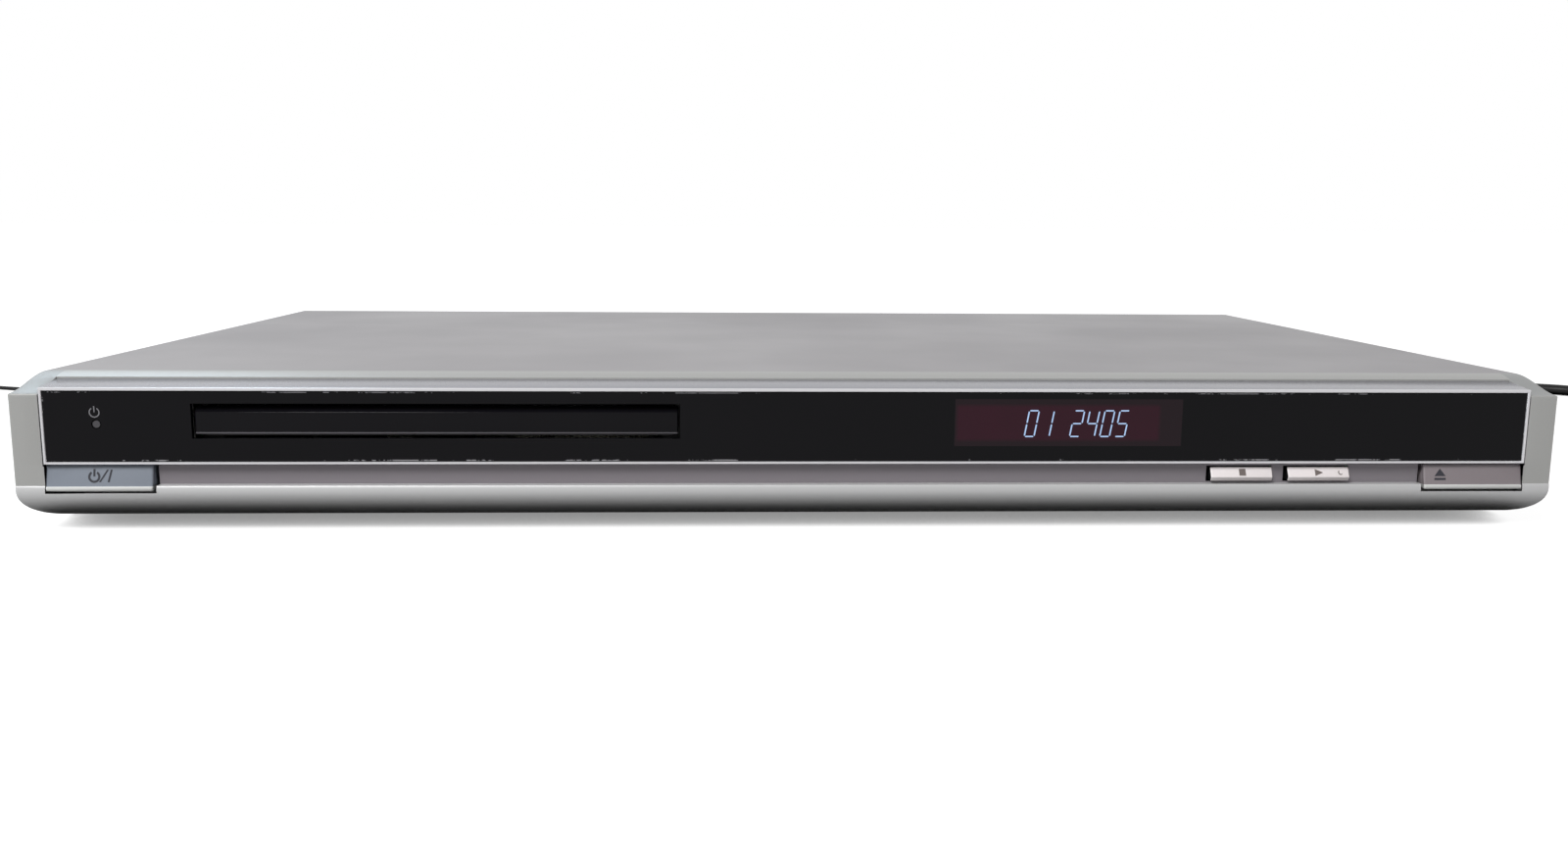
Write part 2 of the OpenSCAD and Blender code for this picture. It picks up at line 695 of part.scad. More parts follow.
// The front's outline seen from the front, with rounded lower corners
module front_outline() {
    half = panel_w / 2;
    r = chin_h;
    translate([-half, foot_h + r]) square([2 * half, cabinet_top_z - cover_bend - foot_h - r]);
    translate([-half + r, foot_h]) square([2 * half - 2 * r, 2 * r]);
    translate([-half + flare + cover_bend, foot_h + r])
        square([2 * (half - flare - cover_bend), cabinet_top_z - foot_h - r]);
    for (i = [-1, 1]) {
        translate([i * (half - r), foot_h + r]) circle(r);
        translate([i * (half - flare - cover_bend), cabinet_top_z - cover_bend]) circle(cover_bend);
    }
}

// The window frame's section, also used to cut its seat
module frame_section(grow) polygon([
    [-cut * sign(grow), window_z1 - grow], [-cut * sign(grow), frame_top_z + cut * 4 * sign(grow)],
    [frame_d + grow, frame_top_z + frame_rise + cut * 4 * sign(grow)],
    [frame_d + grow, window_z1 + 0.2 - grow]
]);

module tray_mouth(s) bar(tray_x, mouth_w, s, [mouth_z0, mouth_z1]);

// Through openings of the front for the tray, the display and the buttons
module front_openings() {
    tray_mouth([-cut, window_wall_back + cut]);
    bar(display_x, display_w - 3, [-cut, window_wall_back + cut],
        [window_z0 + display_up + 1, window_z0 + display_up + display_h - 1]);
    block([power_x0, power_x0 + power_w], [-cut, flange_s + cut], [button_z0 - button_gap, strip_top_z]);
    block([eject_x1 - eject_w, eject_x1], [-cut, flange_s + cut], [button_z0 - button_gap, strip_top_z]);
    for (x = [stop_x, play_x]) bar(x, key_w + 2 * button_gap, [-cut, strip_back_s + cut],
        [key_z0 - button_gap, key_z0 + key_h + button_gap]);
    peg(led_x, led_z, [-cut, window_wall_back + cut], led_d + 2 * fit_gap);
}

// Bosses on the back of the front that carry the upright boards
function board_bosses() = [for (z = [33, 10.5]) [board_x0 + 6, z], [window_w / 2 - 6, 33],
    [eject_x1 - eject_w - 7, 10.5]];
function switch_bosses() = [[-window_w / 2 + 2, 33], [power_x0 + power_w + 3.6, 10.5]];
function boss_z(z) = z < crease_z ? z : min(z, ledge_z - 4);
function boss_s(z) = z < crease_z ? wall_t + 0.4 : window_wall_back - 1.2;

// Moulded front with end caps, crown, strip, chin and button openings
module front_panel() color([0.72, 0.72, 0.71]) in_place() {
    difference() {
        intersection() {
            along_x([-panel_w, panel_w]) front_profile();
            along_s([-cut, panel_back_s + cut]) front_outline();
            along_z([0, cabinet_top_z + cut]) polygon([
                [-panel_w / 2, -cut], [panel_w / 2, -cut], [panel_w / 2, 1], [cover_half, crown_d],
                [pan_half, crown_d], [pan_half, panel_back_s], [-pan_half, panel_back_s],
                [-pan_half, crown_d], [-cover_half, crown_d], [-panel_w / 2, 1]
            ]);
        }
        along_x([-pan_half + wall_t, pan_half - wall_t]) front_void();
        block([-frame_half - fit_gap, frame_half + fit_gap], [-cut, window_wall_s],
            [strip_top_z - 0.01, frame_top_z + 1]);
        along_x([-frame_half - fit_gap, frame_half + fit_gap]) frame_section(fit_gap);
        block([-window_w / 2 + 26, window_w / 2 - 26], [-cut, strip_in], [crease_z, strip_top_z]);
        front_openings();
    }
    for (p = concat(board_bosses(), switch_bosses())) difference() {
        peg(p[0], boss_z(p[1]), [boss_s(p[1]), board_s], 5.5);
        peg(p[0], boss_z(p[1]), [board_s - 8, board_s + cut], 2);
    }
    for (i = [-1, 1], x = [70, pan_half - 22.7])
        bar(i * x, 12, [panel_back_s - 6, panel_back_s + 8], [floor_z + fit_gap, floor_z + fit_gap + 2]);
}

// Bright trim round the dark window, with the plate that backs it
module window_frame() color("gainsboro") in_place() difference() {
    union() {
        along_x([-frame_half, frame_half]) frame_section(0);
        block([-frame_half, frame_half], [0, frame_back_s], [strip_top_z, window_z1 + 0.1]);
    }
    block([-window_w / 2, window_w / 2], [-cut, lens_back_s], [window_z0, window_z1]);
    tray_mouth([-cut, frame_back_s + cut]);
    bar(display_x, display_w - 3, [-cut, frame_back_s + cut],
        [window_z0 + display_up + 1, window_z0 + display_up + display_h - 1]);
    peg(led_x, led_z, [-cut, frame_back_s + cut], led_d + 2 * fit_gap);
}

// Gloss black acrylic sheet
module window_lens() color([0.08, 0.07, 0.09]) in_place() difference() {
    block([-window_w / 2, window_w / 2], [lens_s, lens_back_s], [window_z0, window_z1]);
    tray_mouth([-cut, lens_back_s + cut]);
    display_sheet(cut);
    peg(led_x, led_z, [-cut, lens_back_s + cut], led_d + 2 * fit_gap);
}

module display_sheet(past) bar(display_x, display_w, [lens_s - past, lens_back_s + past],
    [window_z0 + display_up, window_z0 + display_up + display_h]);

// Dark red filter over the display tube
module display_filter() color([0.2, 0.08, 0.12]) in_place() display_sheet(0);

// Clear light pipe with its diode on the switch board
module standby_light() color([0.75, 0.75, 0.72]) in_place() {
    peg(led_x, led_z, [lens_s + 0.1, board_s - 5], led_d);
    peg(led_x, led_z, [board_s - 5, board_s], led_d + 1.6);
}

// Big end button: leaning face, lip, flange, stem
module end_button(x) {
    along_x(x) polygon([
        [button_lean, strip_top_z - button_gap], [0, crease_z], [0.1, crease_z - lip_h * 0.6],
        [0.25, button_z0], [flange_s, button_z0], [flange_s, strip_top_z - button_gap]
    ]);
    block([x[0] - 0.8, x[1] + 0.8], [flange_s, flange_s + flange_t], [button_z0 - 1, strip_top_z - button_gap]);
    peg((x[0] + x[1]) / 2, crease_z + 2, [flange_s, stem_end_s], stem_d);
}

module power_button() color([0.58, 0.6, 0.64]) in_place()
    end_button([power_x0 + button_gap, power_x0 + power_w - side_gap]);

module open_close_button() color([0.58, 0.55, 0.57]) in_place()
    end_button([eject_x1 - eject_w + side_gap, eject_x1 - button_gap]);

// Small button, leaning face, chamfer below
module key(x) {
    top = key_z0 + key_h;
    along_x([x - key_w / 2, x + key_w / 2]) polygon([
        [key_lean, top], [0.4, key_z0 + 1.1], [1.2, key_z0],
        [flange_s, key_z0], [flange_s, top]
    ]);
    bar(x, key_w + 1.6, [flange_s, flange_s + flange_t], [key_z0 - 1, top]);
    peg(x, (key_z0 + top) / 2, [flange_s, stem_end_s], stem_d);
}

module stop_button() color([0.93, 0.91, 0.92]) in_place() key(stop_x);
module play_button() color([0.93, 0.91, 0.92]) in_place() key(play_x);

// Upright board behind the display and the right-hand buttons
module front_board() color("darkgreen") in_place() difference() {
    block([board_x0, window_w / 2 + 2], [board_s, board_s + board_t], [floor_z + 3, ledge_z]);
    for (p = board_bosses()) peg(p[0], boss_z(p[1]), [board_s - cut, board_s + board_t + cut], 2.6);
}

// Vacuum fluorescent tube on its holder
module display_tube() color([0.25, 0.35, 0.35]) in_place() {
    z = [window_z0 + display_up, ledge_z - fit_gap];
    bar(display_x, display_w, [board_s - 8, board_s - 2.5], [z[0], z[1]]);
    bar(display_x, display_w - 8, [board_s - 2.5, board_s], [z[0] + 2, z[1] - 2]);
    for (i = [0:20]) translate([display_x + (i - 10) * 2.6, board_s - 4.5, z[0] - 2]) cube([0.5, 0.5, 2.1]);
}

// Touch switches behind the four buttons
module touch_switches() color([0.15, 0.15, 0.15]) in_place()
    for (p = [[(2 * power_x0 + button_gap + power_w - side_gap) / 2, crease_z + 2],
              [(2 * eject_x1 - eject_w + side_gap - button_gap) / 2, crease_z + 2],
              [stop_x, key_z0 + key_h / 2], [play_x, key_z0 + key_h / 2]]) {
        bar(p[0], 6, [board_s - switch_h, board_s], [p[1] - 3, p[1] + 3]);
        peg(p[0], p[1], [plunger_s, board_s - switch_h], 3.2);
    }

// Small upright board behind the power button
module switch_board() color("darkgreen") in_place() difference() {
    block([-window_w / 2 - 2, tray_x - loader_half - 4], [board_s, board_s + board_t],
        [floor_z + 3, ledge_z]);
    for (p = switch_bosses()) peg(p[0], boss_z(p[1]), [board_s - cut, board_s + board_t + cut], 2.6);
}

// ---- tray

// Moulded tray with two disc seats, finger scoops, turntable slot, rack and cam track
module disc_tray() color([0.16, 0.16, 0.17]) in_place() {
    skirt = 2;
    difference() {
        union() {
            bar(tray_x, tray_w, [tray_s0, tray_s1], [plate_z, tray_z1]);
            both_sides(tray_x) block([rail_half - skirt, rail_half], [tray_s0, tray_s1], [tray_z0, plate_z]);
            bar(tray_x, tray_w, [tray_s0, tray_s0 + skirt], [tray_z0, plate_z]);
        }
        translate([tray_x, hub_s, 0]) {
            translate([0, 0, seat_z]) cylinder(h = tray_h, d = seat_d);
            translate([0, 0, small_seat_z]) cylinder(h = tray_h, d = small_seat_d);
            translate([0, 0, tray_z0 - cut]) cylinder(h = tray_h + 2 * cut, d = slot_w);
            for (i = [-1, 1]) translate([i * seat_d / 2, 0, small_seat_z])
                cylinder(h = tray_h, r = 11);
        }
        bar(tray_x, slot_w, [hub_s, tray_s1 + cut], [tray_z0 - cut, tray_z1 + cut]);
        both_sides(tray_x) block([slot_w / 2 + 4, rail_half - 5], [hub_s + seat_d / 2 + 4, tray_s1 - 4],
            [plate_z + 1.6, tray_z1 + cut]);
    }
    // rack on the right, its back rail fused to the plate
    along_z([tray_z0 + 0.2, plate_z]) rack_2d(rack_m, rack_x, rack_x + 5, [tray_s0 + skirt, tray_s1], gear_s);
    // end-of-stroke cam track for the slider's post on the left
    along_z([tray_z0 + 0.2, plate_z]) cam_track();
    for (x = [-58, -50]) bar(tray_x + x, 1.2, [tray_s0 + skirt, tray_s1], [tray_z0 + 1.2, plate_z]);
}

// Two ribs that steer the slider's post: a 45 degree lead-in, then straight back
module cam_track() {
    near = cam_post_d / 2 + fit_gap;
    rib = 1.2;
    lead_in = 4.4;
    end_x = cam_post_x + cam_travel;
    side = function (k, off) [cam_post_x + k + off / sqrt(2), slider_mid_s + k - off / sqrt(2)];
    polygon([side(lead_in, near), side(lead_in, near + rib),
        side(cam_travel, near + rib) + [0.3, 0], [end_x + near + rib, slider_mid_s + cam_travel],
        [end_x + near + rib, tray_s1], [end_x + near, tray_s1], [end_x + near, slider_mid_s + cam_travel]]);
    translate([end_x - near - rib, slider_mid_s + cam_travel + 3])
        square([rib, tray_s1 - slider_mid_s - cam_travel - 3]);
}

// Gloss black front of the tray, chamfered above and below, on two lugs
module tray_fascia() color([0.13, 0.12, 0.14]) in_place() {
    z = [mouth_z0 + 1, mouth_z1 - 0.9];
    x = [tray_x - mouth_w / 2 + 0.6, tray_x + mouth_w / 2 - 0.6];
    along_x(x) polygon([[1.4, z[0] + 0.6], [2, z[0]], [tray_s0 - fit_gap, z[0]],
        [tray_s0 - fit_gap, z[1]], [2.3, z[1]], [1.4, z[1] - 0.9]]);
    for (i = [-1, 1]) bar(tray_x + i * 40, 10, [tray_s0 - fit_gap, tray_s0], [plate_z + 1, tray_z1 - 1]);
}

// ---- loader

// Moulded frame: side walls with rails and hooks, well for the deck, gear platform
module loader_frame() color([0.2, 0.2, 0.21]) in_place() {
    base_z = [loader_z0, loader_z0 + base_t];
    wall_top = bridge_z - 0.2;
    difference() {
        union() {
            bar(tray_x, 2 * loader_half, [loader_s0, loader_s1], base_z);
            both_sides(tray_x) {
                block([loader_in, loader_half], [loader_s0, loader_s1], [loader_z0, wall_top]);
                block([loader_in - 3.5, loader_in], [loader_s0, loader_s1 - 6],
                    [tray_z0 - fit_gap - 2, tray_z0 - fit_gap]);
                for (s = [loader_s0 + 4, 96, 158]) block([loader_in - 3, loader_in], [s, s + 12],
                    [tray_z1 + fit_gap, wall_top]);
                block([well_half, well_half + frame_wall], [loader_s0, well_s1 + frame_wall],
                    [loader_z0, platform_z1]);
                shaft(hinge_s, hinge_z, [well_half, well_half + 5], 9.6);
                for (s = ear_s) {
                    post(loader_half + ear_out, s, base_z, 9);
                    block([loader_half - 0.1, loader_half + ear_out], [s - 4.5, s + 4.5], base_z);
                }
                for (s = [50, 90, 130]) block([well_half + frame_wall - 0.1, loader_in + 0.1],
                    [s, s + 1.6], [loader_z0, tray_z0 - 6]);
            }
            bar(tray_x, 2 * loader_half, [loader_s0, loader_s0 + frame_wall], [loader_z0, platform_z1 + 3]);
            bar(tray_x, 2 * loader_half, [loader_s1 - frame_wall, loader_s1], [loader_z0, tray_z0 - 3]);
            bar(tray_x, 2 * well_half + 1, [loader_s0, cam_wall_s[1]], [platform_z0, platform_z1]);
            bar(tray_x, 2 * well_half + 1, cam_wall_s, [floor_z + fit_gap, platform_z0 + 0.1]);
            bar(tray_x, 2 * well_half + 1, [cam_wall_s[0], slider_s[1] + 1.8],
                [floor_z + fit_gap, slider_z0 - fit_gap]);
            bar(tray_x, 2 * well_half + 1, [slider_s[1] + fit_gap, slider_s[1] + 1.8],
                [floor_z + fit_gap, slider_z0 + 0.6]);
        }
        bar(tray_x, 2 * well_half, [loader_s0 + frame_wall, cam_wall_s[0]], [loader_z0 - cut, platform_z0]);
        bar(tray_x, 2 * well_half, [slider_s[1] + 1.8, well_s1], [loader_z0 - cut, platform_z1 + cut]);
        bar(tray_x, 2 * well_half, [cam_wall_s[1], slider_s[1] + 1.9], [slider_z0 + 0.6, platform_z1 + cut]);
        shaft(hinge_s, hinge_z, [tray_x - well_half - 5 - cut, tray_x + well_half + 5 + cut],
            hinge_d + 2 * run_gap);
        post(motor_x, gear_s, [platform_z0 - cut, platform_z1 + cut], 7.4);
        both_sides(tray_x) for (s = ear_s)
            post(loader_half + ear_out, s, [loader_z0 - cut, loader_z0 + base_t + cut], 3.2);
        both_sides(tray_x) for (i = [0:4]) translate([0, 66 + i * 24, 0])
            block([well_half + frame_wall + 3, loader_in - 3], [0, 14], [loader_z0 - cut, loader_z0 + base_t + cut]);
    }
    post(gear_x, gear_s, [platform_z1 - 0.1, post_top_z], axle_d);
    post(pulley_x, gear_s, [platform_z1 - 0.1, wheel_z + wheel_t + 0.4], axle_d - 1);
}

// Steel bridge over the tray with the clamper's hole and turned-down ends
clamp_hole_d = 22;
bridge_half_s = 18;
module clamp_bridge() color("darkgray") in_place() difference() {
    end_x = loader_half + fit_gap;
    union() {
        bar(tray_x, 2 * (end_x + bridge_t), [hub_s - bridge_half_s, hub_s + bridge_half_s],
            [bridge_z, bridge_z + bridge_t]);
        both_sides(tray_x) block([end_x, end_x + bridge_t], [hub_s - 8, hub_s + 8],
            [bridge_z - 10, bridge_z + bridge_t]);
    }
    post(tray_x, hub_s, [bridge_z - cut, bridge_z + bridge_t + cut], clamp_hole_d);
    both_sides(tray_x) {
        along_z([bridge_z - cut, bridge_z + bridge_t + cut]) slot_2d([28, hub_s], [50, hub_s], 5);
        shaft(hub_s, bridge_z - 6, [end_x - cut, end_x + bridge_t + cut], 2.6 + 2 * snug_gap);
    }
}

// Plastic clamper hung in the bridge, with its magnet cap on top
module disc_clamper() color([0.85, 0.85, 0.83]) in_place() translate([tray_x, hub_s, 0])
    rotate_extrude() polygon([
        [0, bridge_z - fit_gap - 0.3], [5.4, bridge_z - fit_gap - 0.3],
        [6.4, bridge_z - fit_gap - clamper_foot], [clamper_d / 2, bridge_z - fit_gap - clamper_foot],
        [clamper_d / 2, bridge_z - fit_gap], [clamp_hole_d / 2 - fit_gap, bridge_z - fit_gap],
        [clamp_hole_d / 2 - fit_gap, bridge_z + bridge_t + fit_gap],
        [clamp_hole_d / 2 + 4, bridge_z + bridge_t + fit_gap], [clamp_hole_d / 2 + 4, clamper_top_z - 0.5],
        [clamp_hole_d / 2 + 3.5, clamper_top_z], [0, clamper_top_z]
    ]);

// Small direct current motor hung under the platform
module loading_motor() color("silver") in_place() {
    top = platform_z0 - fit_gap;
    intersection() {
        post(motor_x, gear_s, [top - motor_h, top], motor_d);
        bar(motor_x, motor_d, [gear_s - 9, gear_s + 9], [0, top + cut]);
    }
    post(motor_x, gear_s, [top - 0.1, top + 1.2], 6);
    post(motor_x, gear_s, [top, pulley_z + pulley_t + 0.3], motor_shaft_d);
}

// A belt pulley's section, from its bore out
module pulley_section(groove_r, bore_r, z0, z1) polygon([
    [bore_r, z0], [groove_r + 1.1, z0], [groove_r + 1.1, z0 + 0.6], [groove_r, z0 + 0.9],
    [groove_r, z1 - 0.9], [groove_r + 1.1, z1 - 0.6], [groove_r + 1.1, z1], [bore_r, z1]
]);

module motor_pulley() color("goldenrod") in_place() translate([motor_x, gear_s, 0]) rotate_extrude()
    pulley_section(motor_pulley_d / 2, motor_shaft_d / 2 + run_gap, pulley_z, pulley_z + pulley_t);

// Area inside a belt run round two circles
module belt_area(r1, r2) {
    a = acos((r1 - r2) / belt_span);
    polygon(concat(arc([0, 0], r1, a - 180, 180 - a, 36), arc([-belt_span, 0], r2, 180 - a, 180 + a, 12)));
}

module drive_belt() color([0.08, 0.08, 0.08]) in_place() {
    r1 = pulley_d / 2 + 0.1;
    r2 = motor_pulley_d / 2 + 0.1;
    translate([pulley_x, gear_s, belt_z - belt_t / 2]) linear_extrude(belt_t) difference() {
        belt_area(r1 + belt_t, r2 + belt_t);
        belt_area(r1, r2);
    }
}

// Belt pulley with the small gear above it
module pulley_gear() color("ivory") in_place() translate([pulley_x, gear_s, 0]) {
    bore = (axle_d - 1) / 2 + run_gap;
    rotate_extrude() pulley_section(pulley_d / 2, bore, pulley_z, pulley_z + pulley_t);
    along_z([pulley_z + pulley_t - 0.1, wheel_z + wheel_t]) difference() {
        gear_2d(small_n, wheel_m, 180 / small_n);
        circle(bore);
    }
}

// Large wheel with the rack's pinion on top and a hub below
module tray_gear() color("ivory") in_place() translate([gear_x, gear_s, 0]) {
    bore = axle_d / 2 + run_gap;
    difference() {
        union() {
            post(0, 0, [pulley_z, wheel_z + 0.1], 8);
            along_z([wheel_z, wheel_z + wheel_t]) gear_2d(wheel_n, wheel_m, wheel_n % 2 == 0 ? 0 : 180 / wheel_n);
            along_z([wheel_z + wheel_t - 0.1, plate_z - fit_gap]) gear_2d(pinion_n, rack_m, 0);
        }
        post(0, 0, [pulley_z - cut, plate_z], 2 * bore);
        difference() {
            post(0, 0, [wheel_z - cut, wheel_z + 0.8], 2 * wheel_r - 5);
            post(0, 0, [wheel_z - 2 * cut, wheel_z + 1], 10);
        }
    }
}

// Plate with two slanted slots that lift the deck's pins, and a post for the tray's track
module cam_slider() color("whitesmoke") in_place() {
    along_s(slider_s) difference() {
        translate([slider_x0, slider_z0]) square([slider_len, slider_z1 - slider_z0]);
        for (i = [-1, 1]) translate([tray_x + i * cam_pin_x, hinge_z])
            slot_2d([0, 0], [-cam_travel, -cam_drop], cam_slot_r);
    }
    post(cam_post_x, slider_mid_s, [slider_z1 - 0.1, plate_z - fit_gap], cam_post_d);
}

// Leaf switch that tells when the tray is in
module tray_switch() color([0.12, 0.12, 0.12]) in_place() {
    x = tray_x - well_half + 10.5;
    bar(x, 8, [loader_s0 + 4, loader_s0 + 9], [platform_z1, platform_z1 + 4.5]);
    bar(x - 1.5, 1, [loader_s0 + 6, loader_s0 + 7], [platform_z1 + 4.4, tray_z0 - fit_gap - 0.1]);
}

// Screws of the loader, the bridge and the boards
module loader_screws() color("gray") in_place() {
    for (i = [-1, 1], s = ear_s)
        screw_down(tray_x + i * (loader_half + ear_out), s, loader_z0 + base_t, 6, 2, 2.3, base_t + 3.6);
    both_sides(tray_x) {
        shaft(hub_s, bridge_z - 6, [loader_half + 0.05, loader_half + fit_gap + bridge_t], 2.6);
        shaft(hub_s, bridge_z - 6, [loader_half + fit_gap + bridge_t, loader_half + fit_gap + bridge_t + 1.2], 4.6);
    }
    for (p = [for (i = [4:11]) standoffs()[i]]) screw_down(p[0], p[1], board_top, 5.4, 1.8, 2.3, board_t + 3.4);
    for (p = concat(board_bosses(), switch_bosses())) translate([0, 2 * (board_s + board_t), 0])
        mirror([0, 1, 0]) screw_s(p[0], boss_z(p[1]), board_s + board_t, 4.6, 1.6, 1.9, 7);
}

// ---- deck

// Tilting frame with hinge pins at the back and cam pins at the front
module traverse_frame() color([0.3, 0.3, 0.31]) in_place() {
    difference() {
        bar(tray_x, 2 * deck_half, [deck_s0, deck_s1], deck_z);
        bar(tray_x, 2 * (deck_half - deck_bar), [deck_s0 + 4.5, hinge_s - 4], [0, chassis_z]);
    }
    both_sides(tray_x) {
        shaft(hinge_s, hinge_z, [deck_half - 0.1, well_half + 4.6], hinge_d);
        peg(cam_pin_x, hinge_z, [slider_s[0] + 0.3, deck_s0 + 0.1], cam_pin_d);
        peg(cam_pin_x, hinge_z, [slider_s[1] + 2.4, deck_s0 + 0.1], 4);
    }
}

// Steel plate that carries the spindle, the rods and the feed
module traverse_plate() color("lightsteelblue") in_place() {
    difference() {
        bar(tray_x, 2 * (deck_half - 0.2), [deck_s0 + 2, hinge_s - 2], [chassis_z, chassis_top_z]);
        bar(tray_x, 38, [hub_s + 16, hub_s + 78], [chassis_z - cut, chassis_top_z + cut]);
        post(tray_x, hub_s, [chassis_z - cut, chassis_top_z + cut], 12);
    }
    for (i = [-1, 1], s = [rod_s[0], rod_s[1] - rod_block]) difference() {
        bar(tray_x + i * rod_span / 2, 6.4, [s, s + rod_block], [chassis_top_z, rod_z + rod_d / 2 + 1.4]);
        peg(tray_x + i * rod_span / 2, rod_z, [s - cut, s + rod_block + cut], rod_d + 2 * snug_gap);
    }
    difference() {
        bar(screw_x, 6, [screw_s[1] - 2.2, screw_s[1]], [chassis_top_z, rod_z + 3.4]);
        peg(screw_x, rod_z, [screw_s[1] - 3, screw_s[1] + cut], 2 + 2 * run_gap);
    }
}

// Four rubber dampers between the frame and the plate
module deck_dampers() color([0.1, 0.1, 0.1]) in_place()
    for (i = [-1, 1], s = damper_s) translate([tray_x + i * damper_x, s, deck_z[1]]) rotate_extrude()
        polygon([[0, 0], [damper_d / 2, 0], [damper_d / 2, damper_h * 0.3], [damper_d / 2 - 0.8, damper_h * 0.5],
            [damper_d / 2, damper_h * 0.7], [damper_d / 2, damper_h], [0, damper_h]]);

// Flat brushless motor under the turntable
module spindle_motor() color("silver") in_place() translate([tray_x, hub_s, 0]) {
    translate([0, 0, chassis_top_z]) rotate_extrude() polygon([
        [0, -1.1], [5.6, -1.1], [5.6, 0], [14, 0], [14, 1.4], [11.5, 1.4], [11.5, 6.4], [10.5, 7.2], [0, 7.2]
    ]);
    translate([0, 0, chassis_top_z + 7]) cylinder(h = cone_top_z - 1 - chassis_top_z - 7, d = spindle_d);
}

// Turntable with its centring cone
module turntable() color([0.2, 0.2, 0.2]) in_place() translate([tray_x, hub_s, 0]) {
    z0 = chassis_top_z + 7.2 + fit_gap;
    bore = spindle_d / 2 + run_gap;
    rotate_extrude() polygon([
        [bore, z0], [4, z0], [4, spin_z - 2], [turntable_d / 2, spin_z - 2], [turntable_d / 2, spin_z - 0.4],
        [7.4, spin_z - 0.4], [7.4, spin_z + 0.5], [6, cone_top_z], [bore, cone_top_z]
    ]);
}

// Rubber ring that grips the disc
module turntable_pad() color([0.05, 0.05, 0.05]) in_place() translate([tray_x, hub_s, spin_z - 0.4])
    rotate_extrude() translate([9, 0]) square([turntable_d / 2 - 9.4, 0.4]);

module guide_rods() color("gainsboro") in_place()
    for (i = [-1, 1]) peg(tray_x + i * rod_span / 2, rod_z, [rod_s[0] - 0.4, rod_s[1] + 0.4], rod_d);

// Cast pickup carriage on the rods, its nut over the feed screw
module pickup_sled() color("gray") in_place() {
    half = rod_span / 2 + 3;
    lug = 7;
    z = [chassis_top_z + 0.8, rod_z + rod_d / 2 + 1.4];
    difference() {
        union() {
            bar(tray_x, rod_span - 12, sled_s, [z[0], z[1] - 0.6]);
            for (s = [sled_s[0], sled_s[1] - lug]) bar(tray_x - rod_span / 2 + 3.2, 12.4, [s, s + lug], z);
            bar(tray_x + rod_span / 2 - 3.2, 12.4, [objective_s - 3.5, objective_s + 3.5], z);
        }
        peg(tray_x - rod_span / 2, rod_z, [sled_s[0] - cut, sled_s[1] + cut], rod_d + 2 * run_gap);
        block([tray_x + rod_span / 2 - rod_d / 2 - run_gap, tray_x + half + 5],
            [objective_s - 4.5, objective_s + 4.5], [rod_z - rod_d / 2 - run_gap, rod_z + rod_d / 2 + run_gap]);
        bar(tray_x, 24, [objective_s - 10, objective_s + 9], [z[1] - 2.6, z[1] + cut]);
        bar(tray_x, 16, [sled_s[1] - 7, sled_s[1] + cut], [z[1] - 1.8, z[1] + cut]);
    }
    // actuator frame round the lens holder
    difference() {
        bar(tray_x, 22, [objective_s - 8.5, objective_s + 8.5], [z[1] - 2.7, z[1] + 2.4]);
        bar(tray_x, 18, [objective_s - 6.5, objective_s + 6.5], [z[1] - 1.7, z[1] + 2.4 + cut]);
    }
    // nut arm
    block([tray_x + rod_span / 2 + 1, screw_x + 2.2], [objective_s - 3, objective_s + 3],
        [rod_z + screw_d / 2 + fit_gap, z[1] + 0.4]);
}

// Lens holder with the objective lens
module objective_lens() color([0.3, 0.35, 0.5]) in_place() {
    z0 = rod_z + rod_d / 2 + 1.4 - 1.7;
    bar(tray_x, 13, [objective_s - 5, objective_s + 5], [z0, spin_z - 3.4]);
    translate([tray_x, objective_s, spin_z - 3.5]) cylinder(h = 1, d = 6.4);
    translate([tray_x, objective_s, spin_z - 2.6]) intersection() {
        translate([0, 0, -2.6]) sphere(r = 3.6);
        cylinder(h = 2, d = 5);
    }
}

// Worm with raised thread ridges and journals
module feed_screw() color("goldenrod") in_place() {
    pitch = 3;
    peg(screw_x, rod_z, [screw_s[0] - 3, screw_s[1] - 3], screw_d - 0.8);
    peg(screw_x, rod_z, [screw_s[1] - 3.1, screw_s[1] + 0.4], 2);
    for (i = [0:floor((screw_s[1] - screw_s[0] - 6) / pitch)])
        translate([screw_x, screw_s[0] + i * pitch, rod_z]) rotate([-90, 0, 0]) rotate_extrude()
            polygon([[0.5, 0], [screw_d / 2 - 0.4, 0], [screw_d / 2, 0.5], [screw_d / 2, 1],
                [screw_d / 2 - 0.4, 1.5], [0.5, 1.5]]);
}

// Feed motor in front of the screw, with the recess for the screw's end
module feed_motor() color("silver") in_place() difference() {
    union() {
        peg(screw_x, rod_z, [screw_s[0] - 22, screw_s[0] - 4], 2 * (rod_z - chassis_top_z));
        peg(screw_x, rod_z, [screw_s[0] - 22, screw_s[0] - 2], 4.6);
        bar(screw_x, 5, [screw_s[0] - 20, screw_s[0] - 6], [chassis_top_z, rod_z]);
    }
    peg(screw_x, rod_z, [screw_s[0] - 8, screw_s[0] - 1], screw_d - 0.8 + 2 * run_gap);
}

// ---- boards

module main_board() color("darkgreen") in_place() difference() {
    block([main_x0, main_x0 + main_w], main_s, [board_z, board_top]);
    for (i = [4:7]) post(standoffs()[i][0], standoffs()[i][1], [board_z - cut, board_top + cut], 2.6);
}

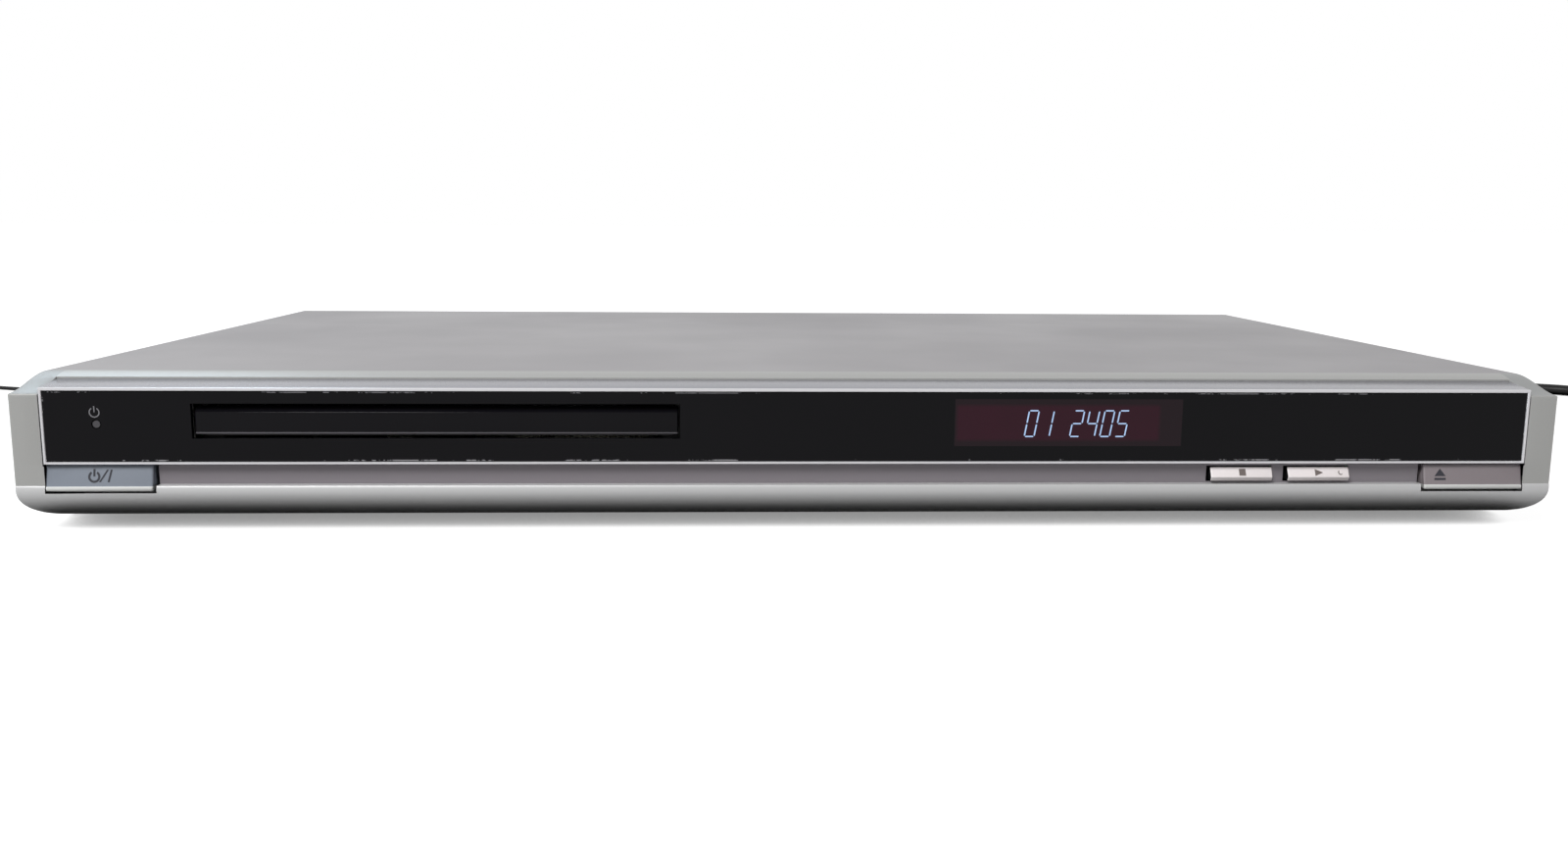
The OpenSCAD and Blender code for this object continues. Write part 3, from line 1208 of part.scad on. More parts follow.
// Chips, memory and connectors of the main board
module main_board_chips() color([0.1, 0.1, 0.1]) in_place() {
    mid_s = (main_s[0] + main_s[1]) / 2;
    for (p = [[4, 0, 28, 28, 3.2], [-36, 22, 18, 10, 1.6], [-36, 6, 18, 10, 1.6], [-36, -14, 14, 20, 1.6],
              [46, 20, 12, 12, 1.8], [46, -6, 10, 16, 1.8], [-28, -42, 26, 6, 6], [4, 34, 24, 10, 2],
              [10 - main_w / 2, 0, 6, 30, 5]])
        bar(main_mid + p[0], p[2], [mid_s + p[1] - p[3] / 2, mid_s + p[1] + p[3] / 2],
            [board_top, board_top + p[4]]);
}

// Finned aluminium heat sinks: one on the decoder chip, one on the supply
module heat_sink() color("silver") in_place() {
    mid_s = (main_s[0] + main_s[1]) / 2;
    z0 = board_top + 3.2;
    bar(main_mid + 4, 26, [mid_s - 13, mid_s + 13], [z0, z0 + 2]);
    for (i = [-3:3]) bar(main_mid + 4 + i * 4, 1.4, [mid_s - 13, mid_s + 13], [z0 + 1.9, z0 + 11]);
    s0 = supply_s[0] + 52;
    x0 = supply_x1 - supply_w + 8;
    block([x0, x0 + 2], [s0, s0 + 34], [board_top, board_top + 24]);
    for (i = [0:4]) block([x0 + 1.9, x0 + 8], [s0 + i * 8, s0 + i * 8 + 1.6], [board_top + 3, board_top + 24]);
}

module power_board() color("peru") in_place() difference() {
    block([supply_x1 - supply_w, supply_x1], supply_s, [board_z, board_top]);
    for (i = [8:11]) post(standoffs()[i][0], standoffs()[i][1], [board_z - cut, board_top + cut], 2.6);
}

// Switching transformer and the line filter choke
module transformer() color("khaki") in_place() {
    x = supply_x1 - supply_w / 2 + 4;
    s = supply_s[0] + 46;
    bar(x, 30, [s, s + 26], [board_top, board_top + 4]);
    bar(x, 18, [s + 3, s + 23], [board_top + 4, board_top + 20]);
    difference() {
        bar(x, 28, [s + 7, s + 19], [board_top + 4, board_top + 24]);
        bar(x, 18, [s + 6, s + 20], [board_top + 3.9, board_top + 20]);
    }
    translate([x, supply_s[1] - 44, board_top]) difference() {
        cylinder(h = 12, d = 22);
        translate([0, 0, -cut]) cylinder(h = 14, d = 9);
    }
}

// Electrolytic capacitors, the large one on the mains side
module capacitors() color([0.1, 0.12, 0.25]) in_place() {
    x = supply_x1 - supply_w / 2;
    for (p = [[8, 0.55 * supply_len, 18, 26], [-18, 16, 10, 16], [-4, 16, 10, 16], [10, 18, 12, 20],
              [-18, 32, 8, 12], [20, 34, 8, 12]]) translate([x + p[0], supply_s[0] + p[1], board_top])
        rotate_extrude() polygon([[0, 0], [p[2] / 2, 0], [p[2] / 2, 1.6], [p[2] / 2 - 0.4, 2.2],
            [p[2] / 2, 2.8], [p[2] / 2, p[3] - 0.5], [p[2] / 2 - 0.5, p[3]], [0, p[3]]]);
}

// Flat cables: front board to main board, and power board to main board
module ribbon_cables() color("white") in_place() {
    t = 0.5;
    x = main_mid + 31;
    along_x([x - 9, x + 9]) polygon([
        [board_s + board_t, floor_z + 8], [board_s + board_t + 6, floor_z + 8],
        [board_s + board_t + 10, floor_z + 3], [main_s[0] - 12, floor_z + 3],
        [main_s[0] - 4, board_top + 1], [main_s[0], board_top + 1],
        [main_s[0], board_top + 1 + t], [main_s[0] - 4.2, board_top + 1 + t],
        [main_s[0] - 12.2, floor_z + 3 + t], [board_s + board_t + 10.2, floor_z + 3 + t],
        [board_s + board_t + 6.2, floor_z + 8 + t], [board_s + board_t, floor_z + 8 + t]
    ]);
    bar(x, 18, [main_s[0], main_s[0] + 5], [board_top, board_top + 4]);
}

// ---- sockets

socket_block_w = 98;
socket_mid_x = socket_x + 2.5 * socket_pitch - 2;
socket_block_z1 = min(socket_row_z[1] + 6.4, cabinet_top_z - hem_h - fit_gap);
socket_block_s0 = rear_in_s - 15;
sleeve_seat_d = socket_d + 0.8;                // wider root of a sleeve, held in the block
function phono_places() = [for (i = [0:2], z = socket_row_z) [socket_x + i * socket_pitch, z]];
coax_at = [socket_x + 3.2 * socket_pitch, socket_row_z[0]];
optical_at = [socket_x + 3.2 * socket_pitch, socket_row_z[1]];
svideo_at = [socket_x + 4.5 * socket_pitch, socket_row_z[0]];
function sleeves() = concat(phono_places(), [coax_at]);

// Black moulded block behind the rear panel with the socket openings
module socket_block() color([0.09, 0.09, 0.1]) in_place() difference() {
    bar(socket_mid_x, socket_block_w, [socket_block_s0, socket_face_s], [board_top, socket_block_z1]);
    for (p = sleeves()) peg(p[0], p[1], [socket_face_s - 8, socket_face_s + cut], sleeve_seat_d);
    peg(svideo_at[0], svideo_at[1], [socket_face_s - 9, socket_face_s + cut], 9.6);
    bar(optical_at[0], 8.4, [socket_face_s - 7, socket_face_s + cut], [optical_at[1] - 4.2, optical_at[1] + 4.2]);
}

// Plated sleeves of the phono sockets
module phono_sleeves() color("silver") in_place() for (p = sleeves())
    translate([p[0], socket_face_s - 8, p[1]]) rotate([-90, 0, 0]) difference() {
        union() {
            cylinder(h = body_d - socket_face_s + 8, d = socket_d);
            cylinder(h = 8, d = sleeve_seat_d);
        }
        translate([0, 0, -cut]) cylinder(h = body_d, d = socket_d - 1.4);
    }

// Coloured insulators inside the sleeves
module phono_inserts() color("gold") in_place() for (p = sleeves())
    translate([p[0], socket_face_s - 8, p[1]]) rotate([-90, 0, 0]) difference() {
        cylinder(h = body_d - socket_face_s + 7.4, d = socket_d - 1.4);
        translate([0, 0, 1]) cylinder(h = body_d, d = 3.5);
    }

// Two-pole mains inlet on the power board
inlet_w = 22;
inlet_h = 15;
inlet_deep = 10;
nose_w = 13.4;
nose_h = 7.6;
pin_gap = 8.6;
module mains_inlet() color([0.08, 0.08, 0.08]) in_place() {
    difference() {
        union() {
            along_s([rear_in_s - 15, rear_out_s + 1]) translate([inlet_x, inlet_z]) round_rect(inlet_w, inlet_h, 2.6);
            bar(inlet_x, inlet_w - 4, [rear_in_s - 15, rear_in_s - 3], [board_top, inlet_z]);
        }
        along_s([rear_out_s + 1 - inlet_deep, rear_out_s + 1 + cut]) translate([inlet_x, inlet_z])
            round_rect(nose_w + 2 * fit_gap, nose_h + 2 * fit_gap, (nose_h + 2 * fit_gap) / 2 - 0.05);
    }
    for (i = [-1, 1]) peg(inlet_x + i * pin_gap / 2, inlet_z, [rear_out_s - inlet_deep, rear_out_s - 1], 2.3);
}

// Connector of the mains lead, pushed into the inlet, with its strain relief
module mains_connector() color([0.06, 0.06, 0.06]) in_place() {
    s0 = rear_out_s + 1 - inlet_deep + fit_gap;
    s1 = rear_out_s + 1 + fit_gap;
    difference() {
        along_s([s0, s1 + 0.1]) translate([inlet_x, inlet_z]) round_rect(nose_w, nose_h, nose_h / 2 - 0.05);
        for (i = [-1, 1]) peg(inlet_x + i * pin_gap / 2, inlet_z, [s0 - cut, rear_out_s - 0.5], 2.9);
    }
    along_s([s1, s1 + 15]) translate([inlet_x, inlet_z]) round_rect(17.6, 11.4, 4.4);
    translate([inlet_x, s1 + 15, inlet_z]) rotate([-90, 0, 0])
        cylinder(h = mains_route[0][1] - s1 - 15, d1 = 10, d2 = mains_d + 1.2);
}

// ---- leads

module mains_lead() color([0.08, 0.08, 0.08]) in_place() lead(mains_route, mains_r, 10);

// Outer shape of the wound spare length
module mains_coil() color([0.08, 0.08, 0.08]) in_place() translate([mains_coil_at[0], mains_coil_at[1], 0])
    rotate_extrude() translate([(mains_coil_r[0] + mains_coil_r[1]) / 2, mains_coil_h / 2])
        round_rect(mains_coil_r[1] - mains_coil_r[0], mains_coil_h, mains_r);

// Two-pin mains plug lying in front of the coil
module mains_plug() color([0.07, 0.07, 0.07]) in_place() translate([plug_at[0], plug_at[1], 0]) {
    body_h = 13.7;
    translate([0, -34, body_h / 2]) rotate([-90, 0, 0]) linear_extrude(26) round_rect(34, body_h, 5.4);
    translate([0, -8.1, body_h / 2]) rotate([-90, 0, 0]) cylinder(h = 16, d1 = 11, d2 = mains_d + 1.4);
    for (i = [-1, 1]) translate([i * 9.5, -53, body_h / 2]) rotate([-90, 0, 0]) cylinder(h = 19.1, d = 4);
}

module signal_lead() color([0.06, 0.06, 0.06]) in_place() lead(signal_route, signal_r, 8);

module signal_coil() color([0.06, 0.06, 0.06]) in_place() translate([signal_coil_at[0], signal_coil_at[1], 0])
    rotate_extrude() translate([(signal_coil_r[0] + signal_coil_r[1]) / 2, signal_coil_h / 2])
        round_rect(signal_coil_r[1] - signal_coil_r[0], signal_coil_h, signal_r);

// A phono plug pointing along -s, its open end at s = 0
module phono_plug() {
    rotate([-90, 0, 0]) difference() {
        cylinder(h = 17, d = 10.4);
        translate([0, 0, -cut]) cylinder(h = cut + 7, d = socket_d + 2 * fit_gap);
    }
    translate([0, 16.9, 0]) rotate([-90, 0, 0]) cylinder(h = 12.1, d1 = 7, d2 = signal_d + 1);
    translate([0, -6, 0]) rotate([-90, 0, 0]) cylinder(h = 14, d = 3.1);
}

// Plugs of the signal lead: one on its socket, one lying past the coil
module signal_plugs() color([0.12, 0.12, 0.12]) in_place() {
    translate([socket_x, signal_route[0][1] - 29, socket_row_z[0]]) phono_plug();
    translate([signal_end_at[0], signal_end_at[1], 5.2]) phono_plug();
}

bottom_chassis();
top_cover();
rear_panel();
rubber_feet();
cover_screws();
front_panel();
window_frame();
window_lens();
display_filter();
standby_light();
power_button();
open_close_button();
stop_button();
play_button();
front_board();
display_tube();
touch_switches();
switch_board();
disc_tray();
tray_fascia();
loader_frame();
clamp_bridge();
disc_clamper();
loading_motor();
motor_pulley();
drive_belt();
pulley_gear();
tray_gear();
cam_slider();
tray_switch();
loader_screws();
traverse_frame();
traverse_plate();
deck_dampers();
spindle_motor();
turntable();
turntable_pad();
guide_rods();
pickup_sled();
objective_lens();
feed_screw();
feed_motor();
main_board();
main_board_chips();
heat_sink();
power_board();
transformer();
capacitors();
ribbon_cables();
socket_block();
phono_sleeves();
phono_inserts();
mains_inlet();
mains_connector();
mains_lead();
mains_coil();
mains_plug();
signal_lead();
signal_coil();
signal_plugs();
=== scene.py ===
import math

import bpy
import numpy as np
from mathutils import Matrix


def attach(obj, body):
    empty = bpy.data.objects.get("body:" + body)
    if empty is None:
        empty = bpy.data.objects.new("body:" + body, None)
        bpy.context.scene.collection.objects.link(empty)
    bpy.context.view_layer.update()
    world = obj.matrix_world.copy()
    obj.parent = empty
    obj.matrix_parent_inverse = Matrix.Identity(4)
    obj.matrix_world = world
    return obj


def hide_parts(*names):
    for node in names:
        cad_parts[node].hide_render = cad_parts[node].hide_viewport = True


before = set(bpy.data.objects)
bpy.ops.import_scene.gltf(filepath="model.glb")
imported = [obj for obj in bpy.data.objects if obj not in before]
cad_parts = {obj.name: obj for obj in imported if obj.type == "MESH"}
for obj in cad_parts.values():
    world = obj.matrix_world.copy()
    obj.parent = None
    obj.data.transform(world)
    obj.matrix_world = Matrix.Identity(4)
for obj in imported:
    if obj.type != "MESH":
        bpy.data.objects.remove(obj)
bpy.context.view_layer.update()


# ---- camera
# A phone held in front of the player, a little above it and turned slightly to the right.
# Angles are in radians, places in metres, the lens and its sensor in mm.
YAW, PITCH, ROLL = 0.0455, 0.1586, 0.0077
EYE, LENS, SENSOR = (-0.02159, -0.48295, 0.08789), 30.04, 36
eye = bpy.data.objects.new("camera", bpy.data.cameras.new("camera"))
bpy.context.collection.objects.link(eye)
eye.data.lens, eye.data.sensor_width = LENS, SENSOR
eye.data.clip_start = 0.01
eye.location = EYE
eye.rotation_euler = (Matrix.Rotation(-YAW, 3, "Z")
                      @ Matrix.Rotation(math.pi / 2 - PITCH, 3, "X")
                      @ Matrix.Rotation(ROLL, 3, "Z")).to_euler()
bpy.context.scene.camera = eye
bpy.context.scene.view_settings.view_transform = "Standard"


# ---- studio
# A white table and backdrop under soft lamps: a high one in front, a cool one behind and a low
# one at each side. The table looks white and keeps a soft shadow, but throws little light up.
def add(tree, kind, values=(), links=(), **settings):
    """Adds a node: settings are its own options, values fill its sockets, links join them."""
    made = tree.nodes.new("ShaderNode" + kind)
    for name, value in settings.items():
        setattr(made, name, value)
    for name, value in dict(values).items():
        made.inputs[name].default_value = value
    for name, output in dict(links).items():
        tree.links.new(output, made.inputs[name])
    return made


def shade(code):
    """sRGB hex to linear: ((c + 0.055) / 1.055) ** 2.4 for each channel, c / 12.92 when dark."""
    c = np.array([int(code[i:i + 2], 16) for i in (1, 3, 5)]) / 255
    return (*np.where(c > 0.04045, ((c + 0.055) / 1.055) ** 2.4, c / 12.92), 1.0)


def background_rays(tree):
    """1 for the rays that see the backdrop: straight from the camera, mirrored or through glass."""
    rays = add(tree, "LightPath")
    most = add(tree, "Math", operation="MAXIMUM", links={
        0: rays.outputs["Is Camera Ray"], 1: rays.outputs["Is Glossy Ray"]})
    return add(tree, "Math", operation="MAXIMUM", links={
        0: most.outputs[0], 1: rays.outputs["Is Transmission Ray"]}).outputs[0]


SKY_FILL = 0.30                     # what lights the player; a ray that sees the backdrop finds it white
backdrop = bpy.data.worlds.new("backdrop")
bpy.context.scene.world = backdrop
backdrop.use_nodes = True
air = backdrop.node_tree
air.nodes.clear()
level = add(air, "Math", {1: 1 - SKY_FILL, 2: SKY_FILL}, {0: background_rays(air)},
            operation="MULTIPLY_ADD")
glow = add(air, "Background", {"Color": (1, 1, 1, 1)}, {"Strength": level.outputs[0]})
add(air, "OutputWorld", links={"Surface": glow.outputs[0]})


def lamp(name, place, aim, size, power, tint):
    """A square soft lamp at a place, turned to face a point."""
    made = bpy.data.objects.new(name, bpy.data.lights.new(name, "AREA"))
    bpy.context.collection.objects.link(made)
    made.data.shape, made.data.size, made.data.energy, made.data.color = "SQUARE", size, power, tint
    way = np.array(aim, float) - np.array(place, float)
    made.location = place
    made.rotation_euler = (math.atan2(math.hypot(way[0], way[1]), -way[2]), 0,
                           math.atan2(-way[0], way[1]))


lamp("lamp_back", (-0.75, 0.8, 0.95), (-0.15, -0.1, 0.04), 0.35, 2.6, (0.72, 0.88, 1.0))
lamp("lamp_front", (-0.62, -1.06, 1.05), (-0.02, -0.1, 0.02), 0.55, 18.5, (1.0, 1.0, 0.99))
lamp("lamp_left", (-1.15, -0.2, 0.07), (-0.2, -0.12, 0.01), 0.12, 2.1, (0.90, 0.98, 1.0))
lamp("lamp_right", (1.15, -0.2, 0.07), (0.2, -0.12, 0.01), 0.12, 1.1, (1.0, 0.93, 0.91))

TABLE_HALF, TABLE_TOP = 8, -2e-4    # metres: half its side, and its top just under the feet
table = bpy.data.meshes.new("table")
table.from_pydata([(TABLE_HALF * x, TABLE_HALF * y, TABLE_TOP)
                   for x, y in ((-1, -1), (1, -1), (1, 1), (-1, 1))], [], [(0, 1, 2, 3)])
floor = bpy.data.objects.new("table", table)
bpy.context.collection.objects.link(floor)

# White paper. near_sky and wide_sky are the share of the sky that is free within 50 and 120 mm:
# the first keeps a soft shadow under the player, the second darkens the table in reflections of
# it close by. Only rays that see the table find it white; the light it throws up is dull.
paper = bpy.data.materials.new("white_paper")
paper.use_nodes = True
sheet = paper.node_tree
sheet.nodes.clear()
lit = add(sheet, "BsdfDiffuse", {"Color": shade("#F7F7F7")})
near_sky = add(sheet, "AmbientOcclusion", {"Distance": 0.05}, samples=16)
soft = add(sheet, "MapRange", {1: 0.0, 2: 0.32, 3: 0.4, 4: 1.5}, {0: near_sky.outputs["AO"]})
flat = add(sheet, "Emission", {"Color": (1, 1, 1, 1)}, {"Strength": soft.outputs[0]})
straight = add(sheet, "MixShader", {0: 0.6}, {1: lit.outputs[0], 2: flat.outputs[0]})
wide_sky = add(sheet, "AmbientOcclusion", {"Distance": 0.12}, samples=8)
deep = add(sheet, "MapRange", {1: 0.5, 2: 0.95, 3: 0.0, 4: 1.25}, {0: wide_sky.outputs["AO"]})
mirrored = add(sheet, "Emission", {"Color": (1, 1, 1, 1)}, {"Strength": deep.outputs[0]})
seen = add(sheet, "MixShader", links={0: add(sheet, "LightPath").outputs["Is Camera Ray"],
                                      1: mirrored.outputs[0], 2: straight.outputs[0]})
dull = add(sheet, "BsdfDiffuse", {"Color": shade("#262626")})
both = add(sheet, "MixShader", links={0: background_rays(sheet), 1: dull.outputs[0], 2: seen.outputs[0]})
add(sheet, "OutputMaterial", links={"Surface": both.outputs[0]})
table.materials.append(paper)


# ---- mains and signal leads
# Extruded black PVC cords. Each leaves its connector straight, drops to the table and ends in a
# neat coil with its plug beside it. One smooth spline each, round section; points are in mm.
FRONT = 125.0                       # from the front plane to the middle of the footprint


def placed(points):
    """(x, s, z) in mm, s behind the front plane, to metres in the part's own frame."""
    return (np.asarray(points, float) - (0, FRONT, 0)) / 1000


def finish(name, light, dark, grain, rough, metallic=0.0, relief=0.0, stretch=(1, 1, 1), **more):
    """A material mottled between two shades. grain is the width of a mottle in mm, rough the
    roughness, relief the depth of the grain in mm, and stretch lengthens it along an axis."""
    made = bpy.data.materials.new(name)
    made.use_nodes = True
    tree = made.node_tree
    shader = tree.nodes["Principled BSDF"]
    for socket, value in {"Metallic": metallic, "Roughness": rough, **more}.items():
        shader.inputs[socket].default_value = value
    where = add(tree, "TexCoord")
    turned = add(tree, "Mapping", {"Scale": [1 / s for s in stretch]}, {"Vector": where.outputs["Object"]})
    mottle = add(tree, "TexNoise", {"Scale": 1000 / grain, "Detail": 3.0, "Roughness": 0.6},
                 {"Vector": turned.outputs[0]})
    colour = add(tree, "Mix", {6: shade(light), 7: shade(dark)}, {0: mottle.outputs[0]}, data_type="RGBA")
    tree.links.new(colour.outputs[2], shader.inputs["Base Color"])
    if relief:
        bump = add(tree, "Bump", {"Strength": 0.6, "Distance": relief / 1000}, {"Height": mottle.outputs[0]})
        tree.links.new(bump.outputs[0], shader.inputs["Normal"])
    return made


def coat(material, *nodes):
    """Every face of these drawn parts takes the one material."""
    for node in nodes:
        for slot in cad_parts[node].material_slots:
            slot.material = material


def coiled(centre, start, turns, sides, begin):
    """Points of a coil, anticlockwise from the angle start. turns lists (radius, height, share of
    a turn); over the last sixth of each turn the cord steps to the next one's radius and height."""
    points, angle, before = [], start, begin
    for radius, height, share in turns:
        u = np.arange(1, int(sides * share) + 1) / sides
        step = np.clip(u * 6, 0, 1)
        step = step * step * (3 - 2 * step)
        r = before[0] + (radius - before[0]) * step
        z = before[1] + (height - before[1]) * step
        a = angle + 2 * math.pi * u
        points.append(np.stack([centre[0] + r * np.cos(a), centre[1] + r * np.sin(a), z], 1))
        angle, before = a[-1], (radius, height)
    return np.concatenate(points)


def cord_of(name, points, width, material):
    """One smooth open spline through the points, with a round section of that width in mm."""
    line = bpy.data.curves.new(name, "CURVE")
    line.dimensions = "3D"
    line.bevel_depth, line.bevel_resolution, line.resolution_u = width / 2000, 3, 4
    line.use_fill_caps = True
    spline = line.splines.new("BEZIER")
    spline.bezier_points.add(len(points) - 1)
    spline.bezier_points.foreach_set("co", placed(points).ravel())
    for point in spline.bezier_points:
        point.handle_left_type = point.handle_right_type = "AUTO"
    line.materials.append(material)
    made = bpy.data.objects.new(name, line)
    bpy.context.collection.objects.link(made)
    return made


# soft PVC jacket: satin black with faint draw lines
pvc = finish("extruded_pvc", "#111112", "#0C0C0D", 0.8, 0.42, relief=0.02, **{"Specular IOR Level": 0.25})

MAINS = 5.2                         # width of the cord
mains_route = [
    (185, 287, 22), (185, 293, 22), (186, 301, 19.8), (188.5, 308, 15.4), (192.5, 315, 10),
    (198, 321, 5.6), (205, 326.5, 3.2), (214, 331.5, 2.6), (226, 335, 2.6), (240, 336.5, 2.6),
    (256, 336, 2.6), (274, 333.5, 2.6), (292, 329.5, 2.6), (310, 324, 2.6), (328, 317, 2.6),
    (346, 309.5, 2.6), (364, 302.5, 2.6), (380, 296, 2.6), (393, 289.8, 2.6), (404, 283, 2.6),
    (411.5, 273.5, 2.6), (415.6, 262, 2.6)]
mains_coil = coiled((455, 262), math.pi, [
    (33.8, 2.6, 1), (28.6, 2.6, 1), (23.4, 2.6, 1), (23.4, 7.8, 1), (28.6, 7.8, 1), (33.8, 7.8, 1)],
    24, (39.4, 2.6))
mains_end = [(421.2, 255, 7.6), (421.2, 248, 7.1), (421.2, 240.6, 6.9)]
mains_points = np.concatenate([mains_route, mains_coil, mains_end])
mains = cord_of("mains_cord", mains_points, MAINS, pvc)
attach(mains, "cabinet")
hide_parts("mains_lead", "mains_coil")

SIGNAL = 1.8                        # width of the cord
signal_route = [
    (30, 274, 17), (30, 279, 17), (29, 286, 13.2), (27, 291.5, 8.4), (23, 296, 4), (17, 299.5, 1.6),
    (9, 302.5, 0.9), (-4, 305.5, 0.9), (-24, 308, 0.9), (-50, 309, 0.9), (-80, 307, 0.9),
    (-112, 303, 0.9), (-146, 298, 0.9), (-182, 293, 0.9), (-218, 289, 0.9), (-254, 286, 0.9),
    (-288, 284, 0.9), (-318, 284, 0.9), (-344, 286, 0.9), (-364, 290.5, 0.9), (-378, 296, 0.9),
    (-385.5, 300.3, 0.9), (-392, 305.5, 0.9), (-395.6, 311, 0.9), (-396.2, 316, 0.9)]
signal_coil = coiled((-412, 316), 0, [
    (13.7, 0.9, 1), (11.9, 0.9, 1), (10.1, 0.9, 1), (8.3, 0.9, 1), (6.5, 0.9, 1),
    (6.5, 2.7, 1), (8.3, 2.7, 1), (10.1, 2.7, 1), (11.9, 2.7, 1), (13.7, 2.7, 1), (12.6, 4.5, 0.5)],
    16, (15.8, 0.9))
signal_end = [(-424.4, 313, 4.7), (-423.2, 309.6, 4.9), (-420, 306.4, 5.1), (-415.6, 304.6, 5.2),
              (-412.8, 302.4, 5.2), (-412, 299.6, 5.2)]
signal_points = np.concatenate([signal_route, signal_coil, signal_end])
signal = cord_of("signal_cord", signal_points, SIGNAL, pvc)
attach(signal, "cabinet")
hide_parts("signal_lead", "signal_coil")

# plugs, connector and phono shells are moulded PVC, a little glossier than the jacket
moulded_pvc = finish("moulded_pvc", "#1D1D1F", "#161617", 0.5, 0.36, relief=0.015)
coat(moulded_pvc, "mains_connector", "mains_plug", "signal_plugs")


# ---- moulded front
# One injection moulding in ABS with satin silver paint: S-curved crown, flared end caps, recessed
# button strip, and a rounded chin whose corners turn in like a ball. It is a grid of stations
# along x and points down the profile, with the openings left out, and then gets its wall.

# mm: half widths from the middle, depths s behind the front plane, heights z
CAP_HALF, COVER_HALF, PAN_HALF = 215.0, 214.0, 212.7
CROWN_DEEP, CROWN_BEND, CROWN_LOW, CROWN_RISE = 17.0, 11.5, 38.5, 4.5
CREASE, NOSE, UNDERSIDE, CHIN_DEEP = 13.15, 11.3, 3.5, 10.0
CAP_DEEP, SEAT_DEEP, STRIP_DEEP, TUCK_DEEP, TUCK_TOP = 0.4, 3.4, 2.6, 20.0, 41.7
SEAT_END, CAP_START = 207.1, 207.4              # the window's seat ends; the cap's flat face starts
LIGHT, MOUTH, DISPLAY = (-193.4, -190.8), (-167.2, -33.6), (44.0, 105.4)    # the openings' ends
STOP, PLAY = (115.4, 134.4), (137.7, 156.7)
OPENING_INNER, OPENING_END = 177.1, 206.9       # the big buttons' openings, to both sides
LEVELS = (39.1, 36.4, 36.3, 31.5, 28.9, 25.8, 25.1, 19.0)      # heights of the openings' edges


def crown(s):
    """Height of the S-curve: rises 4.5 mm as 0.15 u + 0.85 (3 u^2 - 2 u^3), u = depth / 17 mm."""
    u = np.asarray(s, float) / CROWN_DEEP
    return CROWN_LOW + CROWN_RISE * (0.15 * u + 0.85 * (3 * u * u - 2 * u ** 3))


# The chin is a bullnose: a quarter of an ellipse below its nose at 11.3 mm, and 12 degrees of it
# above, up to the crease. Its points are (10 (1 - cos t), 11.3 - 7.8 sin t).
chin_turn = np.radians(np.concatenate([[-12.2, -8.5, -3.5, 2.2], np.linspace(8, 90, 15)]))
chin_arc = np.stack([CHIN_DEEP * (1 - np.cos(chin_turn)), NOSE - (NOSE - UNDERSIDE) * np.sin(chin_turn)], 1)
crown_back = np.linspace(CROWN_DEEP, CROWN_BEND, 10)
crown_front = np.linspace(CROWN_BEND - 0.55, 1.0, 12)


def profile(kind):
    """Points (s, z) down the front at one station: tuck, crown, face, strip, chin. A "cap" has its
    own face; "window" and "strip" have the window's seat, and "strip" has the recess below it."""
    tuck = [(TUCK_DEEP, TUCK_TOP), (CROWN_DEEP + 0.02, TUCK_TOP)]
    back = np.stack([crown_back, crown(crown_back)], 1)
    if kind == "cap":
        face, brow = CAP_DEEP, 37.6
        top = np.stack([crown_front, crown(crown_front)], 1)
        edge = [(0.68, 38.53), (0.48, 38.4), (face, 38.2)]
    else:
        face, brow = SEAT_DEEP, 39.05
        top = np.stack([np.linspace(CROWN_BEND, face, 12), np.linspace(39.3, 39.1, 12)], 1)
        edge = [(face, 39.1 - 0.001 * k) for k in (1, 2, 3)]
    wall = np.stack([np.full(len(LEVELS), face), (brow, *LEVELS[1:])], 1)
    if kind == "strip":
        recess = [(STRIP_DEEP, z) for z in (19.0, 18.1, 13.6, CREASE)]
        strip = [*recess, (0.55, CREASE), (0.36, 13.11), (0.27, 13.03)]
    else:
        strip = [*[(CAP_DEEP, z) for z in (18.95, 18.1, 13.7, 13.3, CREASE)], (0.34, 13.09), (0.27, 13.03)]
    under = [(CROWN_DEEP, UNDERSIDE), (TUCK_DEEP, UNDERSIDE)]
    return np.concatenate([tuck, back, top, edge, wall, strip, chin_arc, under])


cap_line = profile("cap")
slope = np.gradient(cap_line, axis=0)
inward = np.stack([-slope[:, 1], slope[:, 0]], 1)
inward /= np.linalg.norm(inward, axis=1)[:, None]
inward[:3], inward[-2:] = (0, -1), (0, 1)                        # straight down and up at its two ends
columns = len(cap_line)
count = np.arange(columns)
FIRST_TOP, FIRST_WALL, FIRST_STRIP, FIRST_CHIN = 12, 27, 35, 42    # the columns where these begin

# radius of the outer edge: 2 mm at the crown's back, 0.45 mm down the face, then growing to
# 9.7 mm round the chin as (1 - cos d) ** 0.85 with sin d = depth below the crease / 10 mm
FACE_R, BALL_R = 0.45, 9.7
below = (CREASE - chin_arc[:, 1]) / CHIN_DEEP
edge_r = np.interp(cap_line[:, 0], [0.3, 1.0, 6, CROWN_DEEP], [0.35, 0.4, 1.0, 2.0])
edge_r[FIRST_WALL:FIRST_CHIN] = FACE_R
edge_r[FIRST_CHIN:-2] = FACE_R + (BALL_R - FACE_R) * (1 - np.sqrt(1 - below ** 2)) ** 0.85
edge_r[:2], edge_r[-2:] = 0.9, (BALL_R, 9.0)
inner = cap_line[:, 0] > CROWN_DEEP + 0.01                       # columns tucked inside the cover

# the ball corners are arcs of a third more radius, cut off at the crease before they stand upright
low_share = np.where(count >= FIRST_CHIN, (edge_r - FACE_R) / (BALL_R - FACE_R), 0)
ball_r = edge_r * (1 + 0.34 * low_share)
full_turn = np.arccos(1 - edge_r / ball_r)


